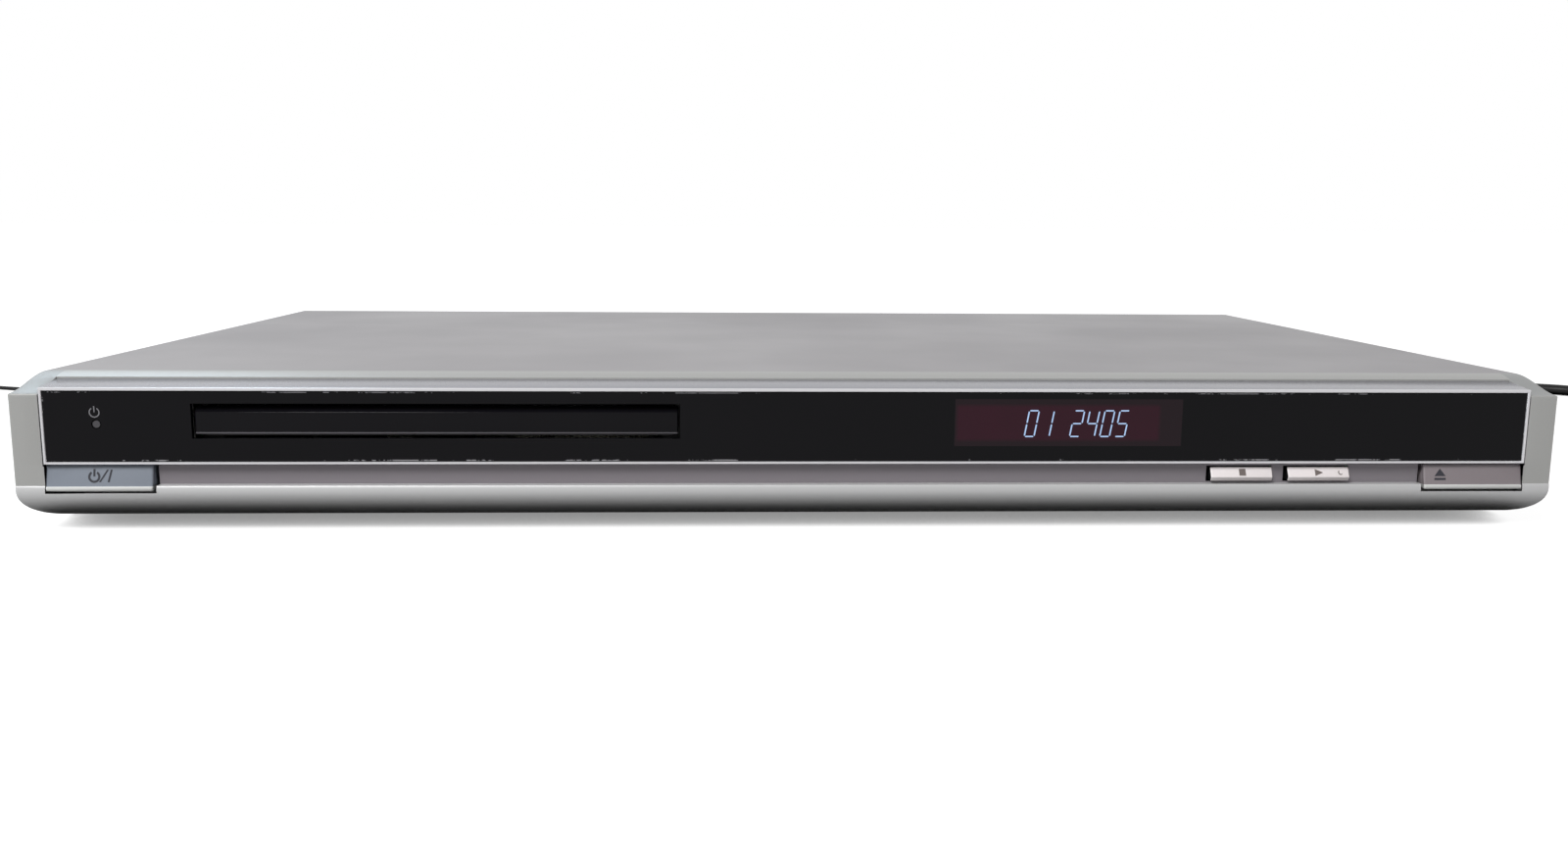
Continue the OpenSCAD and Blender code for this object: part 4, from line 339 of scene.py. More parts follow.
def half_width(s):
    """Half width at a depth: 215 mm at the front, falling to the cover's 214 mm over 16 mm."""
    flare = CAP_HALF - (CAP_HALF - COVER_HALF) * np.clip((s - 1) / 16, 0, 1)
    return np.where(inner, PAN_HALF - 0.1, flare)


def end_stations():
    """Stations (x, line) from the window's end outwards: seat edge, cap, rounded end, side wall.
    Round the end x grows as r sin t while the line moves inwards by r (1 - cos t)."""
    out, round_r = [], CAP_START - SEAT_END
    seat_line, cap_upper = profile("window"), (count >= FIRST_TOP) & (count < FIRST_STRIP)
    for x in (OPENING_END, SEAT_END):
        out.append((np.full(columns, x), seat_line))
    for turn in np.radians((0, 45, 90)):
        sunk = np.where(cap_upper, round_r * (1 - np.sin(turn)), 0)[:, None]
        out.append((np.full(columns, SEAT_END + round_r * (1 - np.cos(turn))), cap_line + inward * sunk))
    start = half_width(cap_line[:, 0]) - ball_r * np.sin(full_turn)
    for k, (x, line) in enumerate(out):                          # chin columns end before the ball
        share = (x - OPENING_INNER) / (CAP_START - OPENING_INNER)
        squeezed = OPENING_INNER + share * (start - 1 - OPENING_INNER)
        out[k] = (np.where(start > CAP_START + 0.2, x, squeezed), line)
    for share in (0, 0.13, 0.27, 0.4, 0.53, 0.67, 0.78, 0.89, 1.0):
        turn = full_turn * share
        line = cap_line + inward * (ball_r * (1 - np.cos(turn)))[:, None]
        out.append((half_width(line[:, 0]) - ball_r * (np.sin(full_turn) - np.sin(turn)), line))
    side_z = np.interp(count, [2, columns - 2], [40.7, 13.2])    # heights of the points down the side
    rim_x, rim = out[-1]
    for share in (0.12, 0.35, 0.7, 1.0):
        goal = np.where(inner[:, None], rim, np.stack([np.full(columns, CROWN_DEEP), side_z], 1))
        line = rim + (goal - rim) * share
        out.append((half_width(line[:, 0]), line))
    for deep in (CROWN_DEEP + 0.02, TUCK_DEEP):                  # the tuck inside the cover
        line = np.where(inner[:, None], rim, np.stack([np.full(columns, deep), side_z], 1))
        out.append((np.full(columns, PAN_HALF - 0.1), line))
    return out


right = end_stations()
middle_x = (*LIGHT, -OPENING_INNER, *MOUTH, *DISPLAY, *STOP, *PLAY, OPENING_INNER)
strip_line = profile("strip")
middle = [(np.full(columns, x), strip_line) for x in middle_x]
stations = [(-x, line) for x, line in right[::-1]] + middle + right
moulding_x = np.stack([x for x, _ in stations])
moulding_line = np.stack([line for _, line in stations])
moulding = np.concatenate([moulding_x[:, :, None], moulding_line], 2)
first = len(right)                                              # the station at the light's left end
at = {x: first + k for k, x in enumerate(middle_x)}
at.update({-OPENING_END: first - 1, OPENING_END: first + len(middle_x)})
level_at = {z: FIRST_WALL + k for k, z in enumerate(LEVELS)}
openings = [
    (*MOUTH, level_at[36.3], level_at[25.8]), (*DISPLAY, level_at[36.4], level_at[25.1]),
    (*LIGHT, level_at[31.5], level_at[28.9]),
    (*STOP, FIRST_STRIP + 1, FIRST_STRIP + 2), (*PLAY, FIRST_STRIP + 1, FIRST_STRIP + 2),
    (-OPENING_END, -OPENING_INNER, FIRST_STRIP - 1, FIRST_CHIN + 3),      # power button
    (OPENING_INNER, OPENING_END, FIRST_STRIP - 1, FIRST_CHIN + 3)]        # open and close button


def quads(rows, across, keep=None):
    """Faces of a grid, numbered row by row; keep is a mask of the faces that stay."""
    i, j = np.meshgrid(np.arange(rows - 1), np.arange(across - 1), indexing="ij")
    if keep is not None:
        i, j = i[keep], j[keep]
    i, j = i.ravel(), j.ravel()
    return np.stack([i * across + j, i * across + j + 1, (i + 1) * across + j + 1, (i + 1) * across + j], 1)


def piece(name, points, faces, material, body="cabinet", slot=None, sharp=32, replaces=()):
    """A mesh of points in mm and faces on its body, smooth but for open edges and those sharper
    than an angle."""
    mesh = bpy.data.meshes.new(name)
    mesh.from_pydata(placed(points).tolist(), [], [list(map(int, f)) for f in faces])
    mesh.materials.append(material)
    mesh.shade_smooth()
    mesh.set_sharp_from_angle(angle=math.radians(sharp))
    used, crease = np.empty(len(mesh.loops), int), np.empty(len(mesh.edges), bool)
    mesh.loops.foreach_get("edge_index", used)
    mesh.edges.foreach_get("use_edge_sharp", crease)
    rim_edges = np.bincount(used, minlength=len(mesh.edges)) == 1
    mesh.edges.foreach_set("use_edge_sharp", crease | rim_edges)
    made = bpy.data.objects.new(name, mesh)
    bpy.context.collection.objects.link(made)
    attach(made, body)
    if replaces:
        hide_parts(*replaces)
    return made


def second_shade(material, code, **limits):
    """Another shade where each coordinate named, |x|, s or z, is between its two limits in mm. It
    lies over the shades that are there; here it paints shade, highlights and reflections."""
    tree = material.node_tree
    base = tree.nodes["Principled BSDF"].inputs["Base Color"]
    place = add(tree, "SeparateXYZ", links={0: add(tree, "TexCoord").outputs["Object"]})
    wide = add(tree, "Math", links={0: place.outputs["X"]}, operation="ABSOLUTE")
    axes = {"x": (wide.outputs[0], 0), "s": (place.outputs["Y"], FRONT), "z": (place.outputs["Z"], 0)}
    inside = None
    for axis, (low, high) in limits.items():
        along, zero = axes[axis]
        between = add(tree, "Math", {1: ((low + high) / 2 - zero) / 1000, 2: (high - low) / 2000},
                      {0: along}, operation="COMPARE").outputs[0]
        inside = between if inside is None else add(
            tree, "Math", links={0: inside, 1: between}, operation="MULTIPLY").outputs[0]
    mixed = add(tree, "Mix", {7: shade(code)}, {0: inside, 6: base.links[0].from_socket}, data_type="RGBA")
    tree.links.new(mixed.outputs[2], base)


# satin silver paint on ABS: fine metal flakes in a clear binder give a soft, even sheen
silver_paint = finish("satin_silver_paint", "#AFAFAD", "#A6A6A5", 0.35, 0.42, metallic=0.3, relief=0.004,
                      **{"Specular IOR Level": 0.2})
second_shade(silver_paint, "#827D82", s=(0.8, 30), z=(13.2, 19.05))          # painted shade: darker in the recessed strip
second_shade(silver_paint, "#C8C8C9", z=(0, 13.17))                          # painted reflection: lighter on the chin, for the table it mirrors
second_shade(silver_paint, "#9A9B9B", x=(207.2, 220), z=(38.52, 50))         # painted shade: darker on the caps' crown, which faces the light
second_shade(silver_paint, "#1E1D1F", x=(206.795, 207.155), z=(18.5, 38.5))  # painted shadow in the deep seam beside the trim

keep = np.ones((len(stations) - 1, columns - 1), bool)
for x0, x1, top, low in openings:
    keep[at[x0]:at[x1], top:low] = False
front = piece("front_moulding", moulding.reshape(-1, 3), quads(len(stations), columns, keep), silver_paint,
              slot="front_panel", sharp=24, replaces=["front_panel"])
wall = front.modifiers.new("wall", "SOLIDIFY")                   # 1.1 mm, to the inside
wall.thickness, wall.offset, wall.thickness_clamp = 0.0011, -1, 1.5


# ---- window trim
# Bright silver frame round the black window, moulded in ABS and metallised: a rounded rim that
# goes round the four sides with mitred corners, a plate behind the window, and a sloping top.
WINDOW_HALF, WINDOW_LOW, WINDOW_TOP, RIM = 206.0, 19.8, 39.4, 0.8        # mm; RIM is its width


def carried(loop, x0, x1, r, steps=4):
    """A closed profile (s, z) carried from x0 to x1. Over the last r mm at each end it shrinks
    inwards along its normals by r (1 - cos t) while x moves out as r sin t; n-gons close it."""
    loop = np.asarray(loop, float)
    nxt, prv = np.roll(loop, -1, 0), np.roll(loop, 1, 0)
    ahead = (nxt - loop) / np.linalg.norm(nxt - loop, axis=1)[:, None]
    behind = (loop - prv) / np.linalg.norm(loop - prv, axis=1)[:, None]
    way = ahead + behind
    turn = np.sign(np.sum(loop[:, 0] * nxt[:, 1] - nxt[:, 0] * loop[:, 1]))
    normal = turn * np.stack([-way[:, 1], way[:, 0]], 1)
    normal /= np.maximum(np.sum(way * way, 1) / 2, 1e-6)[:, None]
    t = np.linspace(0, math.pi / 2, steps)
    xs = np.concatenate([x0 + r * (1 - np.sin(t[::-1])), x1 - r * (1 - np.sin(t))])
    sunk = np.concatenate([r * (1 - np.cos(t[::-1])), r * (1 - np.cos(t))])
    line = loop[None] + normal[None] * sunk[:, None, None]
    points = np.concatenate([np.broadcast_to(xs[:, None, None], (*line.shape[:2], 1)), line], 2)
    rows, n = line.shape[:2]
    i, j = np.meshgrid(np.arange(rows - 1), np.arange(n), indexing="ij")
    i, j, k = i.ravel(), j.ravel(), (j.ravel() + 1) % n
    faces = np.stack([i * n + j, i * n + k, (i + 1) * n + k, (i + 1) * n + j], 1)
    ends = [list(range(n))[::-1], list(range((rows - 1) * n, rows * n))]
    faces = [list(f) for f in faces] + ends
    if turn > 0:
        faces = [f[::-1] for f in faces]
    return points.reshape(-1, 3), faces


def softened(corners, radius, steps=4):
    """A closed polygon with its corners eased: from points a and b on the two sides, radius away
    from the corner c, each becomes the curve (1 - u)^2 a + 2 u (1 - u) c + u^2 b."""
    corners = np.asarray(corners, float)
    radius = np.broadcast_to(radius, len(corners))
    out = []
    for p, q, c, r in zip(np.roll(corners, 1, 0), np.roll(corners, -1, 0), corners, radius):
        a = c + (p - c) * min(0.45, r / np.linalg.norm(p - c))
        b = c + (q - c) * min(0.45, r / np.linalg.norm(q - c))
        u = np.linspace(0, 1, steps)[:, None]
        out.append((1 - u) ** 2 * a + 2 * u * (1 - u) * c + u * u * b)
    return np.concatenate(out)


def joined(parts):
    """Several point and face lists as one."""
    points, faces, base = [], [], 0
    for p, f in parts:
        points.append(np.asarray(p, float))
        faces += [[int(v) + base for v in one] for one in f]
        base += len(p)
    return np.concatenate(points), faces


# section of the rim: how far outside the window's edge, and how deep
rim_out = RIM * np.array([0, 0, 0.075, 0.25, 0.5, 0.75, 0.925, 1, 1])
rim_deep = np.array([2.0, 0.4, 0.18, 0.04, 0.0, 0.04, 0.18, 0.4, 3.0])
corner = np.array([(-1, 0), (-1, 1), (1, 1), (1, 0)])
rim_x = corner[:, :1] * (WINDOW_HALF + rim_out)
rim_z = np.where(corner[:, 1:] == 1, WINDOW_TOP + rim_out, WINDOW_LOW - rim_out)
rim_points = np.stack([rim_x, np.broadcast_to(rim_deep, rim_x.shape), rim_z], 2).reshape(-1, 3)
n = len(rim_out)
rim_faces = [[a * n + j, a * n + (j + 1) % n, ((a + 1) % 4) * n + (j + 1) % n, ((a + 1) % 4) * n + j]
             for a in range(4) for j in range(n)]

plate_x = np.array([-WINDOW_HALF, *LIGHT, *MOUTH, *DISPLAY, WINDOW_HALF])
plate_z = np.array([WINDOW_TOP, *LEVELS[1:-1], WINDOW_LOW])
plate_keep = np.ones((7, 7), bool)                               # mouth, display and light stay open
plate_keep[3, 2:5] = plate_keep[5, 1:6] = plate_keep[1, 3] = False


def slab(xs, zs, keep, s0, s1):
    """A flat plate with openings: the kept cells of a grid, front and back, and their edges."""
    rows, cols = len(xs), len(zs)
    grid = np.array([(x, s, z) for s in (s0, s1) for x in xs for z in zs])
    near = quads(rows, cols, keep)
    back = near[:, ::-1] + rows * cols
    seen = {}
    for f in near.tolist():
        for a, b in zip(f, f[1:] + f[:1]):
            seen[(a, b)] = True
    rims = [[b, a, a + rows * cols, b + rows * cols] for a, b in seen if (b, a) not in seen]
    return grid, near.tolist() + back.tolist() + rims


top_section = softened([(0.02, 39.45), (0.02, 40.2), (11.2, 41.42), (11.2, 39.6), (6, 39.45)],
                       [0.1, 0.35, 0.25, 0.1, 0.1])
# vacuum-metallised and lacquered ABS: bright, with faint handling marks; a darker grey on the sloping top is
# painted shade
bright_trim = finish("metallised_abs", "#D6D5D8", "#CFCED2", 1.6, 0.24, metallic=0.5, relief=0.003)
# painted shade: the sloping top is darker than the rim
second_shade(bright_trim, "#8A8A91", z=(40.27, 50))
piece("window_trim", *joined([
    (rim_points, rim_faces), carried(top_section, 0.1 - OPENING_END, OPENING_END - 0.1, 0.3),
    slab(plate_x, plate_z, plate_keep, 2.0, 3.1)]), bright_trim,
    slot="window_frame", sharp=30, replaces=["window_frame"])


# ---- black window
# Cast acrylic sheet, gloss black right through, laid into the trim from the front. It mirrors the
# room dimly, and its edges have worn to pale flecks where they meet the rim.
acrylic = finish("gloss_black_acrylic", "#0D0C10", "#0B0A0E", 30, 0.09, **{"Specular IOR Level": 0.09})
tree = acrylic.node_tree
gloss = tree.nodes["Principled BSDF"]
plain = gloss.inputs["Base Color"].links[0].from_socket
spot = add(tree, "TexCoord")
axes = add(tree, "SeparateXYZ", links={0: spot.outputs["Object"]})

# the flecks keep to a line 0.2 mm wide, 0.38 mm inside the long edges, and to the two ends
WINDOW_MIDDLE, FLECK_LINE = (WINDOW_LOW + WINDOW_TOP) / 2, (WINDOW_TOP - WINDOW_LOW) / 2 - 0.38
off = axes.outputs["Z"]
for level_mm in (WINDOW_MIDDLE, FLECK_LINE):                     # | |z - middle| - line |
    off = add(tree, "Math", {1: -level_mm / 1000}, {0: off}, operation="ADD").outputs[0]
    off = add(tree, "Math", links={0: off}, operation="ABSOLUTE").outputs[0]
near_edge = add(tree, "MapRange", {1: 0.00010, 2: 0.00018, 3: 1.0, 4: 0.0}, {0: off})
wide = add(tree, "Math", links={0: axes.outputs["X"]}, operation="ABSOLUTE")
near_end = add(tree, "MapRange", {1: 0.20555, 2: 0.206, 3: 0.0, 4: 1.0}, {0: wide.outputs[0]})
edge = add(tree, "Math", links={0: near_edge.outputs[0], 1: near_end.outputs[0]}, operation="MAXIMUM")

# chips of 2 to 4 mm, drawn longer than they are high so that they show, in patches of 30 mm
drawn = add(tree, "Mapping", {"Scale": (0.55, 1, 1)}, {"Vector": spot.outputs["Object"]})
chips = add(tree, "TexNoise", {"Scale": 420.0, "Detail": 3.0, "Roughness": 0.8}, {"Vector": drawn.outputs[0]})
patches = add(tree, "TexNoise", {"Scale": 35.0, "Detail": 1.0}, {"Vector": spot.outputs["Object"]})
worn_off = add(tree, "Math", links={0: chips.outputs[0], 1: patches.outputs[0]}, operation="ADD")
fleck = add(tree, "MapRange", {1: 1.09, 2: 1.15, 3: 0.0, 4: 0.7}, {0: worn_off.outputs[0]})
fleck = add(tree, "Math", links={0: fleck.outputs[0], 1: edge.outputs[0]}, operation="MULTIPLY")
worn = add(tree, "Mix", {7: shade("#B5B3B8")}, {0: fleck.outputs[0], 6: plain}, data_type="RGBA")
tree.links.new(worn.outputs[2], gloss.inputs["Base Color"])
coat(acrylic, "window_lens")


# ---- tray fascia
# The black front of the tray, moulded in gloss ABS with a soft bevel all round, and fixed to the
# tray by two lugs. It stands a little behind the window; the paler band along its lower edge is a painted
# highlight.
fascia_loop = softened([(1.4, 27.65), (1.75, 27.2), (4.0, 27.2), (4.0, 35.0), (3.1, 35.0), (1.4, 33.4)],
                       [0.15, 0.15, 0.1, 0.1, 0.2, 0.12])
lug_loop = [(3.9, 32.2), (4.3, 32.2), (4.3, 33.4), (3.9, 33.4)]
lugs = [carried(lug_loop, x - 5, x + 5, 0.05) for x in (-140.4, -60.4)]
gloss_abs = finish("gloss_black_abs", "#121115", "#100F13", 20, 0.13, **{"Specular IOR Level": 0.08})
# painted highlight: a paler band along the lower edge
second_shade(gloss_abs, "#7B797F", z=(0, 27.85))
# 1 mm clear of the mouth at both ends
piece("fascia", *joined([carried(fascia_loop, MOUTH[0] + 1, MOUTH[1] - 1, 0.45), *lugs]), gloss_abs,
      body="tray", slot="tray_fascia", replaces=["tray_fascia"])


# ---- display
# A filter of dark red acrylic set into the window, where the characters of the tube behind it
# glow pale blue. They are plain numerals, seven slanted bars each.
smoked = finish("smoked_red_filter", "#38081F", "#30071B", 12, 0.12, **{"Specular IOR Level": 0.15})
tree = smoked.node_tree                                     # the lit field, darker towards its border
field = tree.nodes["Principled BSDF"].inputs["Base Color"].links[0].from_socket
axes = add(tree, "SeparateXYZ", links={0: add(tree, "TexCoord").outputs["Object"]})
shares = []
for axis, middle_mm, half in (("X", 71.8, 28.5), ("Z", 30.7, 4.8)):
    off = add(tree, "Math", {1: -middle_mm / 1000}, {0: axes.outputs[axis]}, operation="ADD")
    off = add(tree, "Math", links={0: off.outputs[0]}, operation="ABSOLUTE")
    shares.append(add(tree, "MapRange", {1: (half - 0.4) / 1000, 2: (half + 0.7) / 1000, 3: 1.0, 4: 0.0},
                      {0: off.outputs[0]}))
inside = add(tree, "Math", links={0: shares[0].outputs[0], 1: shares[1].outputs[0]}, operation="MULTIPLY")
dimmed = add(tree, "Mix", {6: shade("#1D0B15")}, {0: inside.outputs[0], 7: field}, data_type="RGBA")
tree.links.new(dimmed.outputs[2], tree.nodes["Principled BSDF"].inputs["Base Color"])
coat(smoked, "display_filter")

# a numeral in mm: width and height of its cell, width of a bar and the gap at its ends; its slant
CELL, TALL, BAR, GAP, LEAN = 2.75, 7.3, 0.37, 0.34, 0.17
FIGURES, FIRST_X, STEP, FOOT_Z = "01 2405", 62.2, 4.28, 26.85
SEGMENTS = {"0": "abcdef", "1": "bc", "2": "abged", "4": "fgbc", "5": "afgcd"}
bars = {"a": (0, 1, 1, 1), "b": (1, 1, 1, 0.5), "c": (1, 0.5, 1, 0), "d": (0, 0, 1, 0),
        "e": (0, 0.5, 0, 0), "f": (0, 1, 0, 0.5), "g": (0, 0.5, 1, 0.5)}


def prism(outline, s0, s1):
    """A thin block: an outline (x, z) at two depths, closed front, back and round the edge."""
    outline = np.asarray(outline, float)
    n = len(outline)
    points = np.concatenate([np.insert(outline, 1, s, axis=1) for s in (s0, s1)])
    k = np.arange(n)
    sides = np.stack([k, k + n, (k + 1) % n + n, (k + 1) % n], 1).tolist()
    area = np.sum(outline[:, 0] * np.roll(outline[:, 1], -1) - np.roll(outline[:, 0], -1) * outline[:, 1])
    faces = [list(range(n)), list(range(n, 2 * n))[::-1]] + [f[::-1] for f in sides]
    if area < 0:
        faces = [f[::-1] for f in faces]
    return points, faces


def segment(x, z, bar):
    """One bar of a numeral: a long hexagon between two corners of the cell, slanted."""
    a = np.array([bar[0] * CELL, bar[1] * TALL])
    b = np.array([bar[2] * CELL, bar[3] * TALL])
    along = (b - a) / np.linalg.norm(b - a)
    side = np.array([-along[1], along[0]]) * BAR / 2
    a, b = a + along * GAP, b - along * GAP
    outline = np.array([a - along * BAR / 2, a + side, b + side, b + along * BAR / 2, b - side, a - side])
    outline[:, 0] += x + LEAN * outline[:, 1]
    outline[:, 1] += z
    return outline


# drawn on the filter's face, 0.5 mm deep, because the filter itself is opaque here
lit_bars = [prism(segment(FIRST_X + STEP * k, FOOT_Z, bars[name]), 0.46, 0.5)
            for k, figure in enumerate(FIGURES) for name in SEGMENTS.get(figure, "")]
# phosphor of the tube: an even, pale blue light, a little mottled
phosphor = bpy.data.materials.new("blue_phosphor")
phosphor.use_nodes = True
tree = phosphor.node_tree
light = tree.nodes["Principled BSDF"]
light.inputs["Base Color"].default_value = shade("#7C93B8")
light.inputs["Emission Strength"].default_value = 0.72
mottle = add(tree, "TexNoise", {"Scale": 700.0}, {"Vector": add(tree, "TexCoord").outputs["Object"]})
tone = add(tree, "Mix", {6: shade("#B9D0EE"), 7: shade("#A2C0E6")}, {0: mottle.outputs[0]}, data_type="RGBA")
tree.links.new(tone.outputs[2], light.inputs["Emission Color"])
piece("display_numerals", *joined(lit_bars), phosphor, slot="display_tube")


# ---- standby light and mark
# Light pipe: clear acrylic, moulded with a frosted end, which looks grey while it is dark. The
# standby sign above it, a ring open at its top with an upright bar, is printed in matte ink.
clear = finish("clear_acrylic", "#4A484D", "#403E43", 2, 0.2, **{"Specular IOR Level": 0.4})
coat(clear, "standby_light")
RING = (122, 418)                   # degrees: where the signs' ring begins and ends


def arc(cx, cz, r, a0, a1, width, s0, s1, steps=20):
    """A printed arc, or a painted shadow: a band of that width between two angles in degrees."""
    a = np.radians(np.linspace(a0, a1, steps))
    outer = np.stack([cx + (r + width / 2) * np.cos(a), cz + (r + width / 2) * np.sin(a)], 1)
    inner_edge = np.stack([cx + (r - width / 2) * np.cos(a), cz + (r - width / 2) * np.sin(a)], 1)
    points = np.concatenate([np.insert(edge, 1, s, axis=1) for s in (s0, s1) for edge in (outer, inner_edge)])
    n, faces = steps, []
    for k in range(n - 1):
        faces += [[k, n + k, n + k + 1, k + 1], [2 * n + k + 1, 3 * n + k + 1, 3 * n + k, 2 * n + k],
                  [k, k + 1, 2 * n + k + 1, 2 * n + k], [n + k + 1, n + k, 3 * n + k, 3 * n + k + 1]]
    faces += [[0, 2 * n, 3 * n, n], [n - 1, 2 * n - 1, 4 * n - 1, 3 * n - 1]]
    return points, faces


def box_mark(x0, x1, z0, z1, s0, s1):
    """A printed upright rectangle."""
    return prism([(x0, z0), (x1, z0), (x1, z1), (x0, z1)], s0, s1)


pale_ink = finish("pale_ink", "#86858A", "#7A797E", 1.0, 0.5)
piece("standby_mark", *joined([
    arc(-192.4, 33.45, 1.3, *RING, 0.3, 0.47, 0.5), box_mark(-192.55, -192.25, 33.5, 35.15, 0.47, 0.5)]),
    pale_ink, slot="window_lens")


# ---- buttons
# Four buttons moulded in ABS. The two big ones are painted and have a lip that carries on the
# chin; stop and play are pearl white caps on black carriers. Each has a flange that holds it
# behind its opening, a stem to its switch and a printed mark.

# thin satin paint on ABS: cool on the power button, warm on the other, silver on both lips, painted lighter
# as a reflection
blue_grey = finish("button_paint_cool", "#848B97", "#7B828E", 0.3, 0.38, relief=0.003)
warm_grey = finish("button_paint_warm", "#91888C", "#898084", 0.3, 0.38, relief=0.003)
# the lips: silver paint, lightened by a painted reflection like the chin's
second_shade(blue_grey, "#DDDEDD", z=(0, 12.95))
second_shade(warm_grey, "#DDDEDD", z=(0, 12.95))
# pearl ABS, coloured right through: nearly white, half glossy; the carriers are plain satin black
pearl = finish("pearl_abs", "#FFF8F8", "#F8F0F1", 0.6, 0.30, relief=0.003)
black_abs = finish("black_abs", "#19191A", "#131314", 0.4, 0.5, **{"Specular IOR Level": 0.1})
# pad-printed inks: flat and matte; the brown one also paints the shadow beside the play key's bump
dark_ink = finish("dark_ink", "#1B1C26", "#23242E", 0.6, 0.5)
brown_ink_and_shadow = finish("brown_grey_ink_and_shadow", "#776D6A", "#6E6461", 0.6, 0.5)
FLANGE, STEM, STEM_R = (5.7, 6.7), (6.6, 15.3), 1.7     # depths of both, and the stem's radius


def back_of(x0, x1, low, high, stem_z):
    """The flange between two ends and two heights, and the round stem in the middle of it."""
    section = [(FLANGE[0], low), (FLANGE[1], low), (FLANGE[1], high), (FLANGE[0], high)]
    turn = np.linspace(0, 2 * math.pi, 24, endpoint=False)
    ring = np.stack([(x0 + x1) / 2 + STEM_R * np.cos(turn), stem_z + STEM_R * np.sin(turn)], 1)
    return [carried(section, x0, x1, 0.05), prism(ring, *STEM)]


def end_button(name, x0, x1, material, body, node):
    """Face that leans back 1.1 mm, and a lip below it that carries on the chin."""
    loop = softened([(1.5, 18.75), (0.4, 13.0), (0.15, 12.85), (0.0, 12.2), (0.25, 11.6), (5.7, 11.55),
                     (5.7, 18.75)], [0.3, 0.1, 0.15, 0.4, 0.2, 0.1, 0.1])
    piece(name, *joined([carried(loop, x0, x1, 0.5), *back_of(x0 - 0.8, x1 + 0.8, 10.3, 18.7, 15.5)]),
          material, body=body, slot=node, replaces=[node])


def key(name, x, body, node):
    """Proud key: a thin pearl cap, face leaning back and a bevel under it, on a black carrier."""
    shell = softened([(1.8, 17.75), (0.4, 15.1), (0.95, 14.0), (1.35, 14.0), (0.95, 15.2), (2.2, 17.75)],
                     [0.3, 0.2, 0.15, 0.1, 0.1, 0.1])
    piece(name + "_cap", *carried(shell, x - 8.85, x + 8.85, 0.25), pearl, body=body, slot=node)
    loop = softened([(2.15, 17.65), (0.9, 15.1), (1.25, 14.1), (5.7, 14.1), (5.7, 17.65)], 0.15)
    piece(name + "_carrier", *joined([carried(loop, x - 8.75, x + 8.75, 0.1),
                                      *back_of(x - 9.8, x + 9.8, 13.0, 18.5, 16.25)]),
          black_abs, body=body, slot=node, replaces=[node])


# the big buttons are 0.1 mm clear of the caps and 1 mm of the strip, the keys 0.2 mm off centre
end_button("power_cap", 0.1 - OPENING_END, -1 - OPENING_INNER, blue_grey, "power_key", "power_button")
end_button("eject_cap", OPENING_INNER + 1, OPENING_END - 0.1, warm_grey, "tray_key", "open_close_button")
key("stop", sum(STOP) / 2 + 0.2, "stop_key", "stop_button")
key("play", sum(PLAY) / 2 + 0.2, "play_key", "play_button")


def on_face(parts, ink, body, name, slot, foot, lean):
    """Marks on a leaning face, printed or a painted shadow: their depth is foot + lean z, and they
    stand 0.04 mm proud of it."""
    points, faces = joined(parts)
    points[:, 1] += foot + lean * points[:, 2]
    piece(name, points, faces, ink, body=body, slot=slot)


# the lean of the two kinds of face, depth for height, and their depth at height zero
BIG_LEAN = (1.5 - 0.4) / (18.75 - 13.0)
BIG_FOOT = 0.4 - BIG_LEAN * 13.0
KEY_LEAN = (2.2 - 0.4) / (18.5 - 15.1)
KEY_FOOT = 0.4 - KEY_LEAN * 15.1
MARK_DEPTHS = (-0.04, 0.02)                 # a mark's front and back, against the face
spots = np.linspace(0, 2 * math.pi, 12, endpoint=False)
dot = np.stack([153.8 + 0.42 * np.cos(spots), 16.4 + 0.42 * np.sin(spots)], 1)
on_face([arc(-193.85, 15.6, 1.35, *RING, 0.6, *MARK_DEPTHS), box_mark(-194.12, -193.55, 15.7, 17.7, *MARK_DEPTHS),
         prism([(-192.6, 14.15), (-192.08, 14.15), (-189.95, 17.5), (-190.47, 17.5)], *MARK_DEPTHS),
         prism([(-190.25, 14.15), (-189.73, 14.15), (-188.95, 17.5), (-189.47, 17.5)], *MARK_DEPTHS)],
        dark_ink, "power_key", "power_mark", "power_button", BIG_FOOT, BIG_LEAN)
on_face([prism([(181.2, 15.3), (184.5, 15.3), (182.85, 17.4)], *MARK_DEPTHS),
         box_mark(181.2, 184.5, 14.2, 14.8, *MARK_DEPTHS)],
        dark_ink, "tray_key", "eject_mark", "open_close_button", BIG_FOOT, BIG_LEAN)
on_face([box_mark(124.4, 126.3, 15.55, 17.35, *MARK_DEPTHS)], brown_ink_and_shadow, "stop_key", "stop_mark", "stop_button",
        KEY_FOOT, KEY_LEAN)
# the crescent beside the play key's bump is a painted shadow in brown ink
on_face([prism([(146.4, 15.45), (148.75, 16.35), (146.4, 17.25)], *MARK_DEPTHS),
         arc(153.75, 16.35, 0.5, 120, 330, 0.3, *MARK_DEPTHS)], brown_ink_and_shadow, "play_key", "play_mark_and_bump_shadow", "play_button",
        KEY_FOOT, KEY_LEAN)
on_face([prism(dot, -0.22, MARK_DEPTHS[1])], pearl, "play_key", "play_bump", "play_button", KEY_FOOT, KEY_LEAN)


